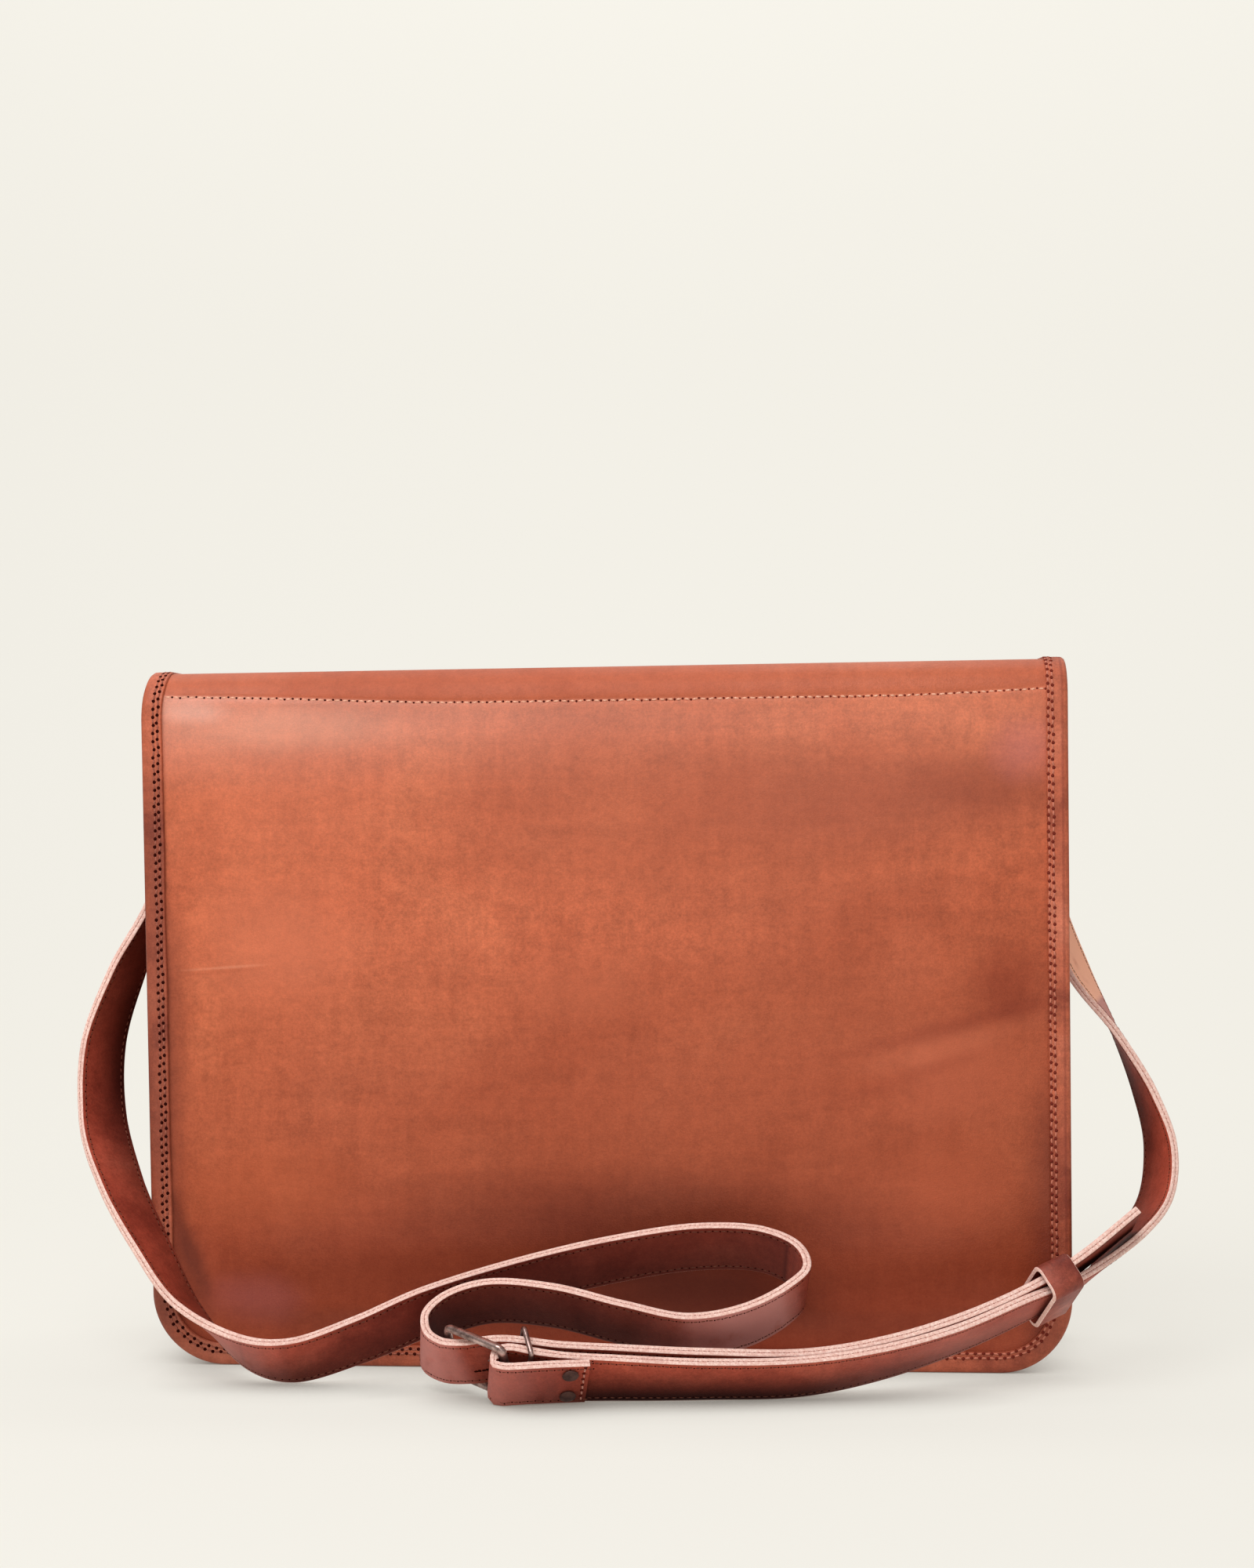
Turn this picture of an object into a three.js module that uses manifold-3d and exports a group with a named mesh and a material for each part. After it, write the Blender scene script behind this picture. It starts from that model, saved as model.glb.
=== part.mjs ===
import * as THREE from 'three';
import { mergeVertices } from 'three/addons/utils/BufferGeometryUtils.js';
import Module from 'manifold-3d';

const wasm = await Module();
wasm.setup();

// A full-flap leather laptop bag seen from its back, millimetres.
// +X is the viewer's right, +Y runs from the back panel to the flap's front, +Z is up.
// The origin is under the middle of the back seam, on the floor.

// Body sizes
const HALF_WIDTH = 203;
const SEAM_DEPTH = 88;
const CORNER = 32;
const TOP = 308.6;
const BACK_ROLL = 14;
const FRONT_ROLL = 18;
const FLAP_FRONT = 95.5;
const FLAP_HANG = 52;
const FLAP_CORNER = 36;
const GUSSET_TOP = 282;
const MOUTH = 276;

// Leather thicknesses and seams
const HIDE = 1.9;
const GUSSET_LEATHER = 1.6;
const TAPE = 1.5;
const TAPE_REACH = 7.8;
const TAPE_ROUND = 1.6;
const TAPE_CREASE = 0.05;
const GAP = 0.3;
const SAME_PLACE = 1e-4;
const EDGE_IN = TAPE + GAP;
const GUSSET_SET = 12.2;
const GUSSET_BEND = 2.5;
const REST_FLAT = 1.2;

// How the standing bag has slumped: sideways per height, right side above left at the top, wider at the top
const LEAN = 0.0144;
const TILT = 3.1;
const FLARE = 0.0105;

// Pillow of the back panel: height on the panel, how far it swells
const BACK_SWELL = [
  [0, 0],
  [11, 0],
  [30, 5],
  [58, 9],
  [100, 9.5],
  [160, 7],
  [225, 4],
  [275, 1.5],
  [296, 0],
];
const SWELL_RISE = 58;
const SWELL_POWER = 1.3;
const FRONT_SWELL = 3.5;
const FLAP_SWELL = 3;

// Shoulder strap
const STRAP_WIDE = 25;
const PLY = 1.65;
const PLY_GAP = 0.3;
const STRAP_STEP = 9;

// Middle line of the long strap from the left gusset to its free end.
// Columns: x, y, z, tip of the near edge from upright, bearing of that lean (0 at the viewer, + to the left)
const LONG_STRAP = [
  [-199.6, 44, 280, 90, 0],
  [-201.2, 44, 245, 90, 2],
  [-210.8, 44, 205, 90, 10],
  [-225.8, 41, 171, 90, 25],
  [-235, 35, 139, 90, 32],
  [-231.9, 20.5, 107.3, 90, 33],
  [-217.8, -6, 81.7, 88, 31],
  [-198.8, -27, 56.3, 83, 25],
  [-180.5, -34, 31, 72, 15],
  [-160, -41.8, 15.8, 54, 6],
  [-134, -45, 12, 42, 0],
  [-106, -42, 19.5, 32, 0],
  [-76, -37, 31.5, 28, 0],
  [-37, -29, 43, 31, 0],
  [4, -25, 52.5, 33, 0],
  [41, -24, 58, 34, 0],
  [68, -28, 57.5, 36, -4],
  [82, -35, 52, 37, -8],
  [85, -42, 45, 38, -8],
  [78, -48, 38.5, 38, -8],
  [60, -54, 30, 38, -4],
  [36, -56, 26, 38, 0],
  [8, -55, 31, 38, 0],
  [-21, -51, 37, 38, 0],
  [-50, -46, 37.5, 38, -2],
  [-68, -47, 31.5, 38, -6],
  [-75, -51.5, 25.5, 38, -8],
  [-74.5, -57.5, 19.5, 38, -8],
  [-67, -62.5, 16, 38, -2],
  [-55, -66, 16.2, 39, 3],
  [-40, -69.6, 19, 40, 6],
  [-18, -68.65, 16.6, 40, 3],
  [8, -66.4, 15.2, 41, 0],
  [44, -64.5, 14.4, 46, 0],
  [84, -57.82, 13.84, 50, 0],
  [116, -51.84, 18.24, 52.5, 0],
  [148, -44.42, 26.83, 55.5, 0],
  [178, -33.96, 38.36, 59.5, 0],
  [201, -26, 51.2, 64, 0],
  [227.6, -14.4, 70, 64.5, 0],
];

// Middle line of the short strap from the right gusset to its fold round the buckle; same columns
const SHORT_STRAP = [
  [191.5, 44, 280, 90, 0],
  [193.3, 44, 245, 90, 6],
  [197.5, 45, 207, 90, 26],
  [210, 43, 174, 90, 26],
  [227.3, 40, 145, 90, 2],
  [239, 37, 120, 90, -13],
  [245, 30, 97, 90, -19],
  [241.8, 17, 76, 88, -18],
  [229.5, 3, 59.3, 77, -10],
  [203.3, -19.5, 42.8, 67.5, -2],
  [178, -36, 34.2, 58.5, 0],
  [148, -47, 23.3, 55.5, 0],
  [116, -55, 15.4, 52.5, 0],
  [84, -61.5, 11.6, 50, 0],
  [44, -69, 11.2, 47, 0],
  [8, -72, 12.2, 42, 0],
  [-14, -73.75, 13.4, 41, 0],
  [-30, -74.7, 15.8, 42, 4],
  [-38, -75.4, 17, 42, 8],
  [-41.3, -76.3, 16.1, 42, 8],
  [-42.8, -78.8, 13.8, 42, 8],
  [-41.5, -81.8, 11.2, 42, 8],
  [-38, -83.2, 10.7, 42, 8],
  [-28, -82.7, 11.1, 42, 5],
  [-18, -80.5, 11.2, 42, 2],
  [-5, -77.8, 11.2, 42, 0],
];

// Buckle, its wire keeper, the leather keeper and the rivets of the folded tab
const ROD = 1.75;
const ROD_SIDES = 8;
const FRAME_HALF = 15.9;
const FRAME_ROUND = 3;
const FRAME_TIP = 41;
const FRAME_TOWARD = 6;
const HEEL_BAR = new THREE.Vector3(-38, -79.2, 14.2);
const END_BAR = new THREE.Vector3(-63, -59.8, 19.3);
const PRONG = 1.1;
const PRONG_PAST = 3.5;
const EYE_FROM = -150;
const EYE_TURN = 240;
const EYE_STEPS = 8;
const PRONG_HOLE = 1.6;
const SLOT_WIDE = 4.2;
const SLOT_LONG = 14;
const SLOT_DEEP = 16;
const WIRE = 1.1;
const WIRE_AT = -32;
const WIRE_CLEAR = 0.8;
const WIRE_SKEW = 0.4;
const KEEPER_AT = 190;
const KEEPER_WIDE = 15;
const KEEPER_LEATHER = 1.8;
const KEEPER_CLEAR = 2.15;
const KEEPER_ROUND = 3;
const RIVET_AT = -13;
const RIVET_ASIDE = 7;
const RIVET_RADIUS = 3.4;
const RIVET_HIGH = 1.1;

// Colours and finishes
const TAN = { color: 0xb4633f, roughness: 0.5, metalness: 0 };
const DARK_TAN = { color: 0x8e452b, roughness: 0.55, metalness: 0 };
const BRONZE = { color: 0x6f5a4c, roughness: 0.42, metalness: 0.9 };

const group = new THREE.Group();

function add(name, geometry, finish) {
  const mesh = new THREE.Mesh(geometry, new THREE.MeshStandardMaterial(finish));
  mesh.name = name;
  group.add(mesh);
}

function radians(degrees) {
  return degrees * Math.PI / 180;
}

function between(low, high, count) {
  return Array.from({ length: count }, (_, k) => low + (high - low) * (k + 1) / (count + 1));
}

// Value of a two-column table at a place, eased between its rows
function readTable(table, place) {
  for (let k = 1; k < table.length; k += 1) {
    const [before, low] = table[k - 1];
    const [after, high] = table[k];
    if (place <= after) {
      const share = THREE.MathUtils.smoothstep(place, before, after);
      return low + (high - low) * share;
    }
  }
  return table[table.length - 1][1];
}

// Turn the triangles round when the skin faces inwards
function faceOut(geometry) {
  const p = geometry.getAttribute('position').array;
  const tri = geometry.index.array;
  const corner = [new THREE.Vector3(), new THREE.Vector3(), new THREE.Vector3()];
  let volume = 0;
  for (let k = 0; k < tri.length; k += 3) {
    corner.forEach((c, i) => c.fromArray(p, tri[k + i] * 3));
    volume += corner[0].dot(corner[1].cross(corner[2]));
  }
  if (volume < 0) {
    for (let k = 0; k < tri.length; k += 3) {
      [tri[k], tri[k + 1]] = [tri[k + 1], tri[k]];
    }
  }
  geometry.computeVertexNormals();
  return geometry;
}

// Skin through sections, each one an outer chain of points and an inner chain of the same length.
// Open lofts are closed at each end by a ladder between the two chains.
function loft(sections, closed = false) {
  const rings = sections.map(({ outer, inner }) => [...outer, ...[...inner].reverse()]);
  const count = rings[0].length;
  const last = (rings.length - 1) * count;
  const index = [];
  const spans = closed ? rings.length : rings.length - 1;
  for (let s = 0; s < spans; s += 1) {
    const here = s * count;
    const next = (s + 1) % rings.length * count;
    for (let k = 0; k < count; k += 1) {
      const j = (k + 1) % count;
      index.push(here + k, here + j, next + j);
      index.push(here + k, next + j, next + k);
    }
  }
  for (let k = 0; !closed && k < count / 2 - 1; k += 1) {
    const far = count - 1 - k;
    index.push(k + 1, k, far, k + 1, far, far - 1);
    index.push(last + k, last + k + 1, last + far, last + far, last + k + 1, last + far - 1);
  }
  const geometry = new THREE.BufferGeometry();
  const numbers = rings.flat().flatMap((p) => p.toArray());
  geometry.setAttribute('position', new THREE.Float32BufferAttribute(numbers, 3));
  geometry.setIndex(index);
  return faceOut(geometry);
}

function solid(geometry) {
  const bare = new THREE.BufferGeometry();
  bare.setAttribute('position', geometry.getAttribute('position').clone());
  bare.setIndex(geometry.index.clone());
  const merged = mergeVertices(bare, SAME_PLACE);
  const vertProperties = new Float32Array(merged.getAttribute('position').array);
  const triVerts = new Uint32Array(merged.index.array);
  return new wasm.Manifold(new wasm.Mesh({ numProp: 3, vertProperties, triVerts }));
}

// One body with another cut out of it
function cut(geometry, tool) {
  const mesh = solid(geometry).subtract(solid(tool)).getMesh();
  const result = new THREE.BufferGeometry();
  result.setAttribute('position', new THREE.Float32BufferAttribute(mesh.vertProperties, 3));
  result.setIndex(Array.from(mesh.triVerts));
  return faceOut(result);
}

// The slump of the standing bag, for every piece of its body
function settle(x, y, z) {
  const high = z / TOP;
  return new THREE.Vector3(x * (1 + FLARE * high) - LEAN * z, y, z + TILT * (x / HALF_WIDTH) * high);
}

// Back and flap are one hide. Its inner face runs up the back, over the top and down the front;
// v is the length along that line, n is outwards from it.
const BACK_RISE = TOP - BACK_ROLL;
const BACK_ARC = BACK_ROLL * Math.PI / 2;
const TOP_RUN = FLAP_FRONT - BACK_ROLL - FRONT_ROLL;
const FRONT_ARC = FRONT_ROLL * Math.PI / 2;
const ROLL_END = BACK_RISE + BACK_ARC;
const TOP_END = ROLL_END + TOP_RUN;
const FALL_START = TOP_END + FRONT_ARC;
const HIDE_END = FALL_START + TOP - FRONT_ROLL - FLAP_HANG;

function hideLine(v) {
  if (v <= BACK_RISE) {
    return { y: 0, z: v, ny: -1, nz: 0 };
  }
  if (v <= ROLL_END) {
    const a = (v - BACK_RISE) / BACK_ROLL;
    const [ny, nz] = [-Math.cos(a), Math.sin(a)];
    return { y: BACK_ROLL + BACK_ROLL * ny, z: BACK_RISE + BACK_ROLL * nz, ny, nz };
  }
  if (v <= TOP_END) {
    return { y: BACK_ROLL + v - ROLL_END, z: TOP, ny: 0, nz: 1 };
  }
  if (v <= FALL_START) {
    const a = (v - TOP_END) / FRONT_ROLL;
    const [ny, nz] = [Math.sin(a), Math.cos(a)];
    const [cy, cz] = [FLAP_FRONT - FRONT_ROLL, TOP - FRONT_ROLL];
    return { y: cy + FRONT_ROLL * ny, z: cz + FRONT_ROLL * nz, ny, nz };
  }
  return { y: FLAP_FRONT, z: TOP - FRONT_ROLL - (v - FALL_START), ny: 1, nz: 0 };
}

function onHide(u, v, n) {
  const { y, z, ny, nz } = hideLine(v);
  return settle(u, y + n * ny, z + n * nz);
}

function onFront(u, v, n) {
  return settle(u, SEAM_DEPTH + n, v);
}

// Half the width of a panel with rounded lower corners, a distance v from its bottom edge
function halfAt(v, half, corner) {
  if (v >= corner) {
    return half;
  }
  return half - corner + Math.sqrt(corner * corner - (corner - v) ** 2);
}

// Share of the full swell at a distance in from the inner edge of the binding
function swellShare(inward) {
  const share = THREE.MathUtils.clamp(inward / SWELL_RISE, 0, 1);
  return Math.sin(share * Math.PI / 2) ** SWELL_POWER;
}

// Columns across a panel as shares of its half width, closer together beside the binding
const COLUMNS = [1, 0.985, 0.95, 0.89, 0.8, 0.66, 0.42, 0.14];
const ACROSS = [...COLUMNS.map((c) => -c), ...[...COLUMNS].reverse()];

function panel(rows, half, place, swell) {
  const sections = rows.map((v) => {
    const wide = half(v);
    const lift = ACROSS.map((c) => swell(c * wide, v, wide));
    const outer = ACROSS.map((c, k) => place(c * wide, v, HIDE + lift[k]));
    const inner = ACROSS.map((c, k) => place(c * wide, v, lift[k]));
    return { outer, inner };
  });
  return loft(sections);
}

// Rows up a rounded corner, closer together at its foot
function cornerRows(radius, count) {
  const turn = Array.from({ length: count }, (_, k) => k / count * Math.PI / 2);
  return turn.map((a) => EDGE_IN + (radius - EDGE_IN) * (1 - Math.cos(a)));
}

const BACK_ROWS = [44, 58, 76, 100, 130, 165, 205, 245, 275];
const FRONT_ROWS = [58, 100, 160, 220];
const ROLL_ROWS = [
  BACK_RISE,
  ...between(BACK_RISE, ROLL_END, 4),
  ROLL_END,
  ...between(ROLL_END, TOP_END, 1),
  TOP_END,
  ...between(TOP_END, FALL_START, 3),
  FALL_START,
];

// Back and flap hide
const hideRows = [
  ...cornerRows(CORNER, 8),
  CORNER,
  ...BACK_ROWS,
  ...ROLL_ROWS,
  ...between(FALL_START, HIDE_END - FLAP_CORNER, 3),
  HIDE_END - FLAP_CORNER,
  ...cornerRows(FLAP_CORNER, 7).reverse().map((v) => HIDE_END - v),
];
const hideHalf = HALF_WIDTH - EDGE_IN;

function hideWidth(v) {
  const fromFoot = halfAt(v - EDGE_IN, hideHalf, CORNER - EDGE_IN);
  const fromFlap = halfAt(HIDE_END - EDGE_IN - v, hideHalf, FLAP_CORNER - EDGE_IN);
  return Math.min(fromFoot, fromFlap);
}

function hideSwell(u, v, wide) {
  const share = swellShare(wide - Math.abs(u) - TAPE_REACH);
  if (v < BACK_RISE) {
    return readTable(BACK_SWELL, v) * share;
  }
  const fall = THREE.MathUtils.smoothstep(v, FALL_START, FALL_START + SWELL_RISE);
  const hem = THREE.MathUtils.smoothstep(HIDE_END - TAPE_REACH - v, 0, SWELL_RISE);
  return FLAP_SWELL * share * fall * hem;
}

add('back_and_flap', panel(hideRows, hideWidth, onHide, hideSwell), TAN);

// Front panel, open at the mouth
const frontRows = [
  ...cornerRows(CORNER, 8),
  CORNER,
  ...FRONT_ROWS,
  MOUTH,
];

function frontWidth(v) {
  return halfAt(v - EDGE_IN, hideHalf, CORNER - EDGE_IN);
}

function frontSwell(u, v, wide) {
  const share = swellShare(wide - Math.abs(u) - TAPE_REACH);
  const foot = swellShare(v - TAPE_REACH - EDGE_IN);
  const mouth = swellShare(MOUTH - v);
  return FRONT_SWELL * share * foot * mouth;
}

add('front_panel', panel(frontRows, frontWidth, onFront, frontSwell), TAN);

// Edge lines of the panels as places with the inward direction there
function arcPlaces(u, v, radius, from, to, count) {
  return Array.from({ length: count + 1 }, (_, k) => {
    const a = radians(from + (to - from) * k / count);
    return { u: u + radius * Math.cos(a), v: v + radius * Math.sin(a), iu: -Math.cos(a), iv: -Math.sin(a) };
  });
}

function footPlaces(top) {
  const flat = HALF_WIDTH - CORNER;
  const sides = [top, (top + CORNER) / 2];
  return [
    ...sides.map((v) => ({ u: -HALF_WIDTH, v, iu: 1, iv: 0 })),
    ...arcPlaces(-flat, CORNER, CORNER, 180, 270, 8),
    ...[-flat / 2, 0, flat / 2].map((u) => ({ u, v: 0, iu: 0, iv: 1 })),
    ...arcPlaces(flat, CORNER, CORNER, 270, 360, 8),
    ...[...sides].reverse().map((v) => ({ u: HALF_WIDTH, v, iu: -1, iv: 0 })),
  ];
}

// Folded tape over an edge; the part of its fold on the floor is pressed flat
function tapeSection(place, spot, depth) {
  const front = HIDE + GAP + TAPE;
  const back = -GAP - depth - TAPE;
  const inset = spot.iv === 1 ? REST_FLAT : TAPE_ROUND;
  const outside = [[TAPE_REACH, front], [inset, front], [0, front - TAPE_ROUND], [0, back + TAPE_ROUND],
    [inset, back], [TAPE_REACH, back]];
  const [under, over, crease] = [front - TAPE, back + TAPE, TAPE_CREASE];
  const inside = [[TAPE_REACH, under], [TAPE + crease, under], [TAPE, under - crease], [TAPE, over + crease],
    [TAPE + crease, over], [TAPE_REACH, over]];
  const at = ([a, n]) => place(spot.u + a * spot.iu, spot.v + a * spot.iv, n);
  return { outer: outside.map(at), inner: inside.map(at) };
}

const SEAM_STACK = GAP + GUSSET_LEATHER;
const tapeStep = GUSSET_TOP + GAP;
const sideRows = [(CORNER + GUSSET_TOP) / 2, tapeStep, ...ROLL_ROWS];
const flapFlat = HALF_WIDTH - FLAP_CORNER;
const flapTurn = HIDE_END - FLAP_CORNER;
const footFlat = HALF_WIDTH - CORNER;
const hideEdge = [
  ...[-footFlat / 2, 0, footFlat / 2].map((u) => ({ u, v: 0, iu: 0, iv: 1 })),
  ...arcPlaces(footFlat, CORNER, CORNER, 270, 360, 8),
  ...sideRows.map((v) => ({ u: HALF_WIDTH, v, iu: -1, iv: 0 })),
  ...arcPlaces(flapFlat, flapTurn, FLAP_CORNER, 0, 90, 7),
  { u: 0, v: HIDE_END, iu: 0, iv: -1 },
  ...arcPlaces(-flapFlat, flapTurn, FLAP_CORNER, 90, 180, 7),
  ...[...sideRows].reverse().map((v) => ({ u: -HALF_WIDTH, v, iu: 1, iv: 0 })),
  ...arcPlaces(-footFlat, CORNER, CORNER, 180, 270, 8),
];
const hideTape = hideEdge.map((spot) => {
  const depth = SEAM_STACK * (1 - THREE.MathUtils.smoothstep(spot.v, tapeStep, BACK_RISE));
  return tapeSection(onHide, spot, depth);
});
add('edge_binding', loft(hideTape, true), TAN);

const frontTape = footPlaces(MOUTH).map((spot) => tapeSection(onFront, spot, SEAM_STACK));
add('front_binding', loft(frontTape), TAN);

// Gusset: one strip round both sides and the bottom, a flange at each seam
function gussetSection(spot) {
  const [low, high] = [GAP, SEAM_DEPTH - GAP];
  const t = GUSSET_LEATHER;
  const [wall, bend] = [GUSSET_SET, GUSSET_BEND];
  const mid = bend * (1 - Math.SQRT1_2);
  const outside = [[EDGE_IN, low + t], [wall - bend, low + t], [wall - mid, low + t + mid],
    [wall, low + t + bend]];
  const inside = [[EDGE_IN, low], [wall + t - bend, low], [wall + t - mid, low + mid],
    [wall + t, low + bend]];
  const mirror = (chain) => [...chain, ...[...chain].reverse().map(([a, y]) => [a, low + high - y])];
  const at = ([a, y]) => settle(spot.u + a * spot.iu, y, spot.v + a * spot.iv);
  return { outer: mirror(outside).map(at), inner: mirror(inside).map(at) };
}

add('gusset', loft(footPlaces(GUSSET_TOP).map(gussetSection)), DARK_TAN);

// Direction of a strap's near edge from its middle line
function edgeWay(tip, toward) {
  const [t, b] = [radians(tip), radians(toward)];
  return new THREE.Vector3(-Math.sin(t) * Math.sin(b), -Math.sin(t) * Math.cos(b), Math.cos(t));
}

// Frames along a strap: middle, edge direction, face direction and heading
function strapFrames(table, step) {
  const middles = table.map(([x, y, z]) => new THREE.Vector3(x, y, z));
  const rims = table.map(([x, y, z, tip, toward]) => edgeWay(tip, toward).multiplyScalar(STRAP_WIDE / 2)
    .add(new THREE.Vector3(x, y, z)));
  const line = new THREE.CatmullRomCurve3(middles);
  const rim = new THREE.CatmullRomCurve3(rims);
  const last = table.length - 1;
  const places = [];
  for (let k = 0; k < last; k += 1) {
    const parts = Math.max(2, Math.round(middles[k].distanceTo(middles[k + 1]) / step));
    for (let j = 0; j < parts; j += 1) {
      places.push((k + j / parts) / last);
    }
  }
  places.push(1);
  return places.map((t) => {
    const middle = line.getPoint(t);
    const heading = line.getTangent(t);
    const edge = rim.getPoint(t).sub(middle);
    edge.addScaledVector(heading, -edge.dot(heading)).normalize();
    return { middle, heading, edge, face: new THREE.Vector3().crossVectors(heading, edge) };
  });
}

function plySection({ middle, edge, face }, side) {
  const at = (along, off) => middle.clone().addScaledVector(edge, along).addScaledVector(face, side * off);
  const half = STRAP_WIDE / 2;
  const [near, far] = [PLY_GAP / 2, PLY_GAP / 2 + PLY];
  return { outer: [at(half, far), at(-half, far)], inner: [at(half, near), at(-half, near)] };
}

function ply(table, side) {
  return loft(strapFrames(table, STRAP_STEP).map((frame) => plySection(frame, side)));
}

// Frame of a strap nearest to a place along X, among the rows from one to another
function frameAt(table, x, fromRow, toRow) {
  const frames = strapFrames(table.slice(fromRow, toRow), 1);
  return frames.reduce((best, f) => Math.abs(f.middle.x - x) < Math.abs(best.middle.x - x) ? f : best);
}

// Round rod along places, closed into a ring or with flat ends
function rod(places, headings, across, radius, closed) {
  const sections = places.map((place, k) => {
    const up = across.clone().addScaledVector(headings[k], -across.dot(headings[k])).normalize();
    const out = new THREE.Vector3().crossVectors(headings[k], up);
    const ring = Array.from({ length: ROD_SIDES }, (_, j) => {
      const a = 2 * Math.PI * (j + 0.5) / ROD_SIDES;
      const point = place.clone().addScaledVector(up, radius * Math.cos(a));
      return point.addScaledVector(out, radius * Math.sin(a));
    });
    return { outer: ring.slice(0, ROD_SIDES / 2), inner: ring.slice(ROD_SIDES / 2).reverse() };
  });
  return loft(sections, closed);
}

// Rounded rectangle in the plane of two directions, as places and headings
function ringLine(middle, right, up, halfRight, halfUp, round, steps) {
  const places = [];
  const headings = [];
  const corners = [[1, 1, 0], [-1, 1, 90], [-1, -1, 180], [1, -1, 270]];
  for (const [sr, su, from] of corners) {
    for (let k = 0; k <= steps; k += 1) {
      const a = radians(from + 90 * k / steps);
      const r = sr * (halfRight - round) + round * Math.cos(a);
      const u = su * (halfUp - round) + round * Math.sin(a);
      places.push(middle.clone().addScaledVector(right, r).addScaledVector(up, u));
      headings.push(right.clone().multiplyScalar(-Math.sin(a)).addScaledVector(up, Math.cos(a)).normalize());
    }
  }
  return { places, headings };
}

// Buckle frame: a rod bent into a rectangle, the strap's fold holds its heel bar
const frameWay = edgeWay(FRAME_TIP, FRAME_TOWARD);
const reach = HEEL_BAR.clone().sub(END_BAR);
const frameRight = reach.clone().normalize();
const frameBack = new THREE.Vector3().crossVectors(frameWay, frameRight).normalize();
const frameMiddle = HEEL_BAR.clone().add(END_BAR).multiplyScalar(0.5);
const frameLong = reach.length() / 2;
const frameLine = ringLine(frameMiddle, frameRight, frameWay, frameLong, FRAME_HALF, FRAME_ROUND, 3);
add('buckle_frame', rod(frameLine.places, frameLine.headings, frameBack, ROD, true), BRONZE);

// Prong: an eye round the heel bar, then a straight pin through the long strap to the end bar
const heel = frameMiddle.clone().addScaledVector(frameRight, frameLong);
const eyeRadius = ROD + GAP + PRONG;
const pinPlaces = [];
const pinHeadings = [];
for (let k = 0; k <= EYE_STEPS; k += 1) {
  const a = radians(EYE_FROM + EYE_TURN * k / EYE_STEPS);
  const place = heel.clone().addScaledVector(frameRight, eyeRadius * Math.cos(a));
  pinPlaces.push(place.addScaledVector(frameBack, eyeRadius * Math.sin(a)));
  pinHeadings.push(frameRight.clone().multiplyScalar(-Math.sin(a)).addScaledVector(frameBack, Math.cos(a)));
}
const pinWay = frameRight.clone().negate();
const pinStart = pinPlaces[pinPlaces.length - 1];
const pinLong = 2 * frameLong + ROD + PRONG_PAST;
pinPlaces.push(pinStart.clone().addScaledVector(pinWay, pinLong));
pinHeadings.push(pinWay);
add('buckle_prong', rod(pinPlaces, pinHeadings, frameWay, PRONG, false), BRONZE);

// Hole in the long strap for the pin, slot in the short strap's fold for the eye
const holeEnds = [pinStart, pinPlaces[pinPlaces.length - 1]];
const pinHole = rod(holeEnds, [pinWay, pinWay], frameWay, PRONG_HOLE, false);
const slotBox = new THREE.BoxGeometry(SLOT_LONG, SLOT_DEEP, SLOT_WIDE);
const slotTurn = new THREE.Matrix4().makeBasis(frameRight, frameBack, frameWay);
const slotMiddle = heel.clone().addScaledVector(frameRight, -SLOT_LONG / 7);
slotBox.applyMatrix4(slotTurn.setPosition(slotMiddle));

add('long_strap_outer', cut(ply(LONG_STRAP, 1), pinHole), TAN);
add('long_strap_inner', cut(ply(LONG_STRAP, -1), pinHole), DARK_TAN);
add('short_strap_outer', cut(ply(SHORT_STRAP, -1), slotBox), TAN);
add('short_strap_inner', cut(ply(SHORT_STRAP, 1), slotBox), DARK_TAN);

// A ring round the two straps where they lie one behind the other
const TAIL_ROWS = [30, 40];
const BODY_ROWS = [9, 19];
const TAB_ROWS = [22, 26];

function strapPair(x) {
  const tail = frameAt(LONG_STRAP, x, ...TAIL_ROWS);
  const body = frameAt(SHORT_STRAP, x, ...BODY_ROWS);
  const up = tail.edge.clone().add(body.edge).normalize();
  const heading = body.heading.clone().addScaledVector(up, -body.heading.dot(up)).normalize();
  const back = new THREE.Vector3().crossVectors(heading, up);
  const apart = tail.middle.clone().sub(body.middle);
  const middle = tail.middle.clone().add(body.middle).multiplyScalar(0.5);
  const thick = Math.abs(apart.dot(back)) + 2 * PLY + PLY_GAP;
  return { middle, up, back, heading, thick, tall: Math.abs(apart.dot(up)) + STRAP_WIDE };
}

const wirePair = strapPair(WIRE_AT);
const wireAcross = wirePair.back.clone().addScaledVector(wirePair.heading, WIRE_SKEW);
const wireLine = ringLine(wirePair.middle, wireAcross, wirePair.up,
  wirePair.thick / 2 + WIRE_CLEAR + WIRE, wirePair.tall / 2 + WIRE_CLEAR + WIRE, WIRE * 1.6, 2);
add('wire_keeper', rod(wireLine.places, wireLine.headings, wirePair.heading, WIRE, true), BRONZE);

const keeperPair = strapPair(KEEPER_AT);
const keeperHalf = [keeperPair.thick / 2 + KEEPER_CLEAR, keeperPair.tall / 2 + KEEPER_CLEAR];
const keeperIn = ringLine(keeperPair.middle, keeperPair.back, keeperPair.up, ...keeperHalf, KEEPER_ROUND, 3);
const keeperOut = ringLine(keeperPair.middle, keeperPair.back, keeperPair.up,
  keeperHalf[0] + KEEPER_LEATHER, keeperHalf[1] + KEEPER_LEATHER, KEEPER_ROUND + KEEPER_LEATHER, 3);
const keeperSections = keeperOut.places.map((outerPlace, k) => {
  const shift = (p, s) => p.clone().addScaledVector(keeperPair.heading, s * KEEPER_WIDE / 2);
  const ends = (p) => [shift(p, 1), shift(p, -1)];
  return { outer: ends(outerPlace), inner: ends(keeperIn.places[k]) };
});
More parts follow.
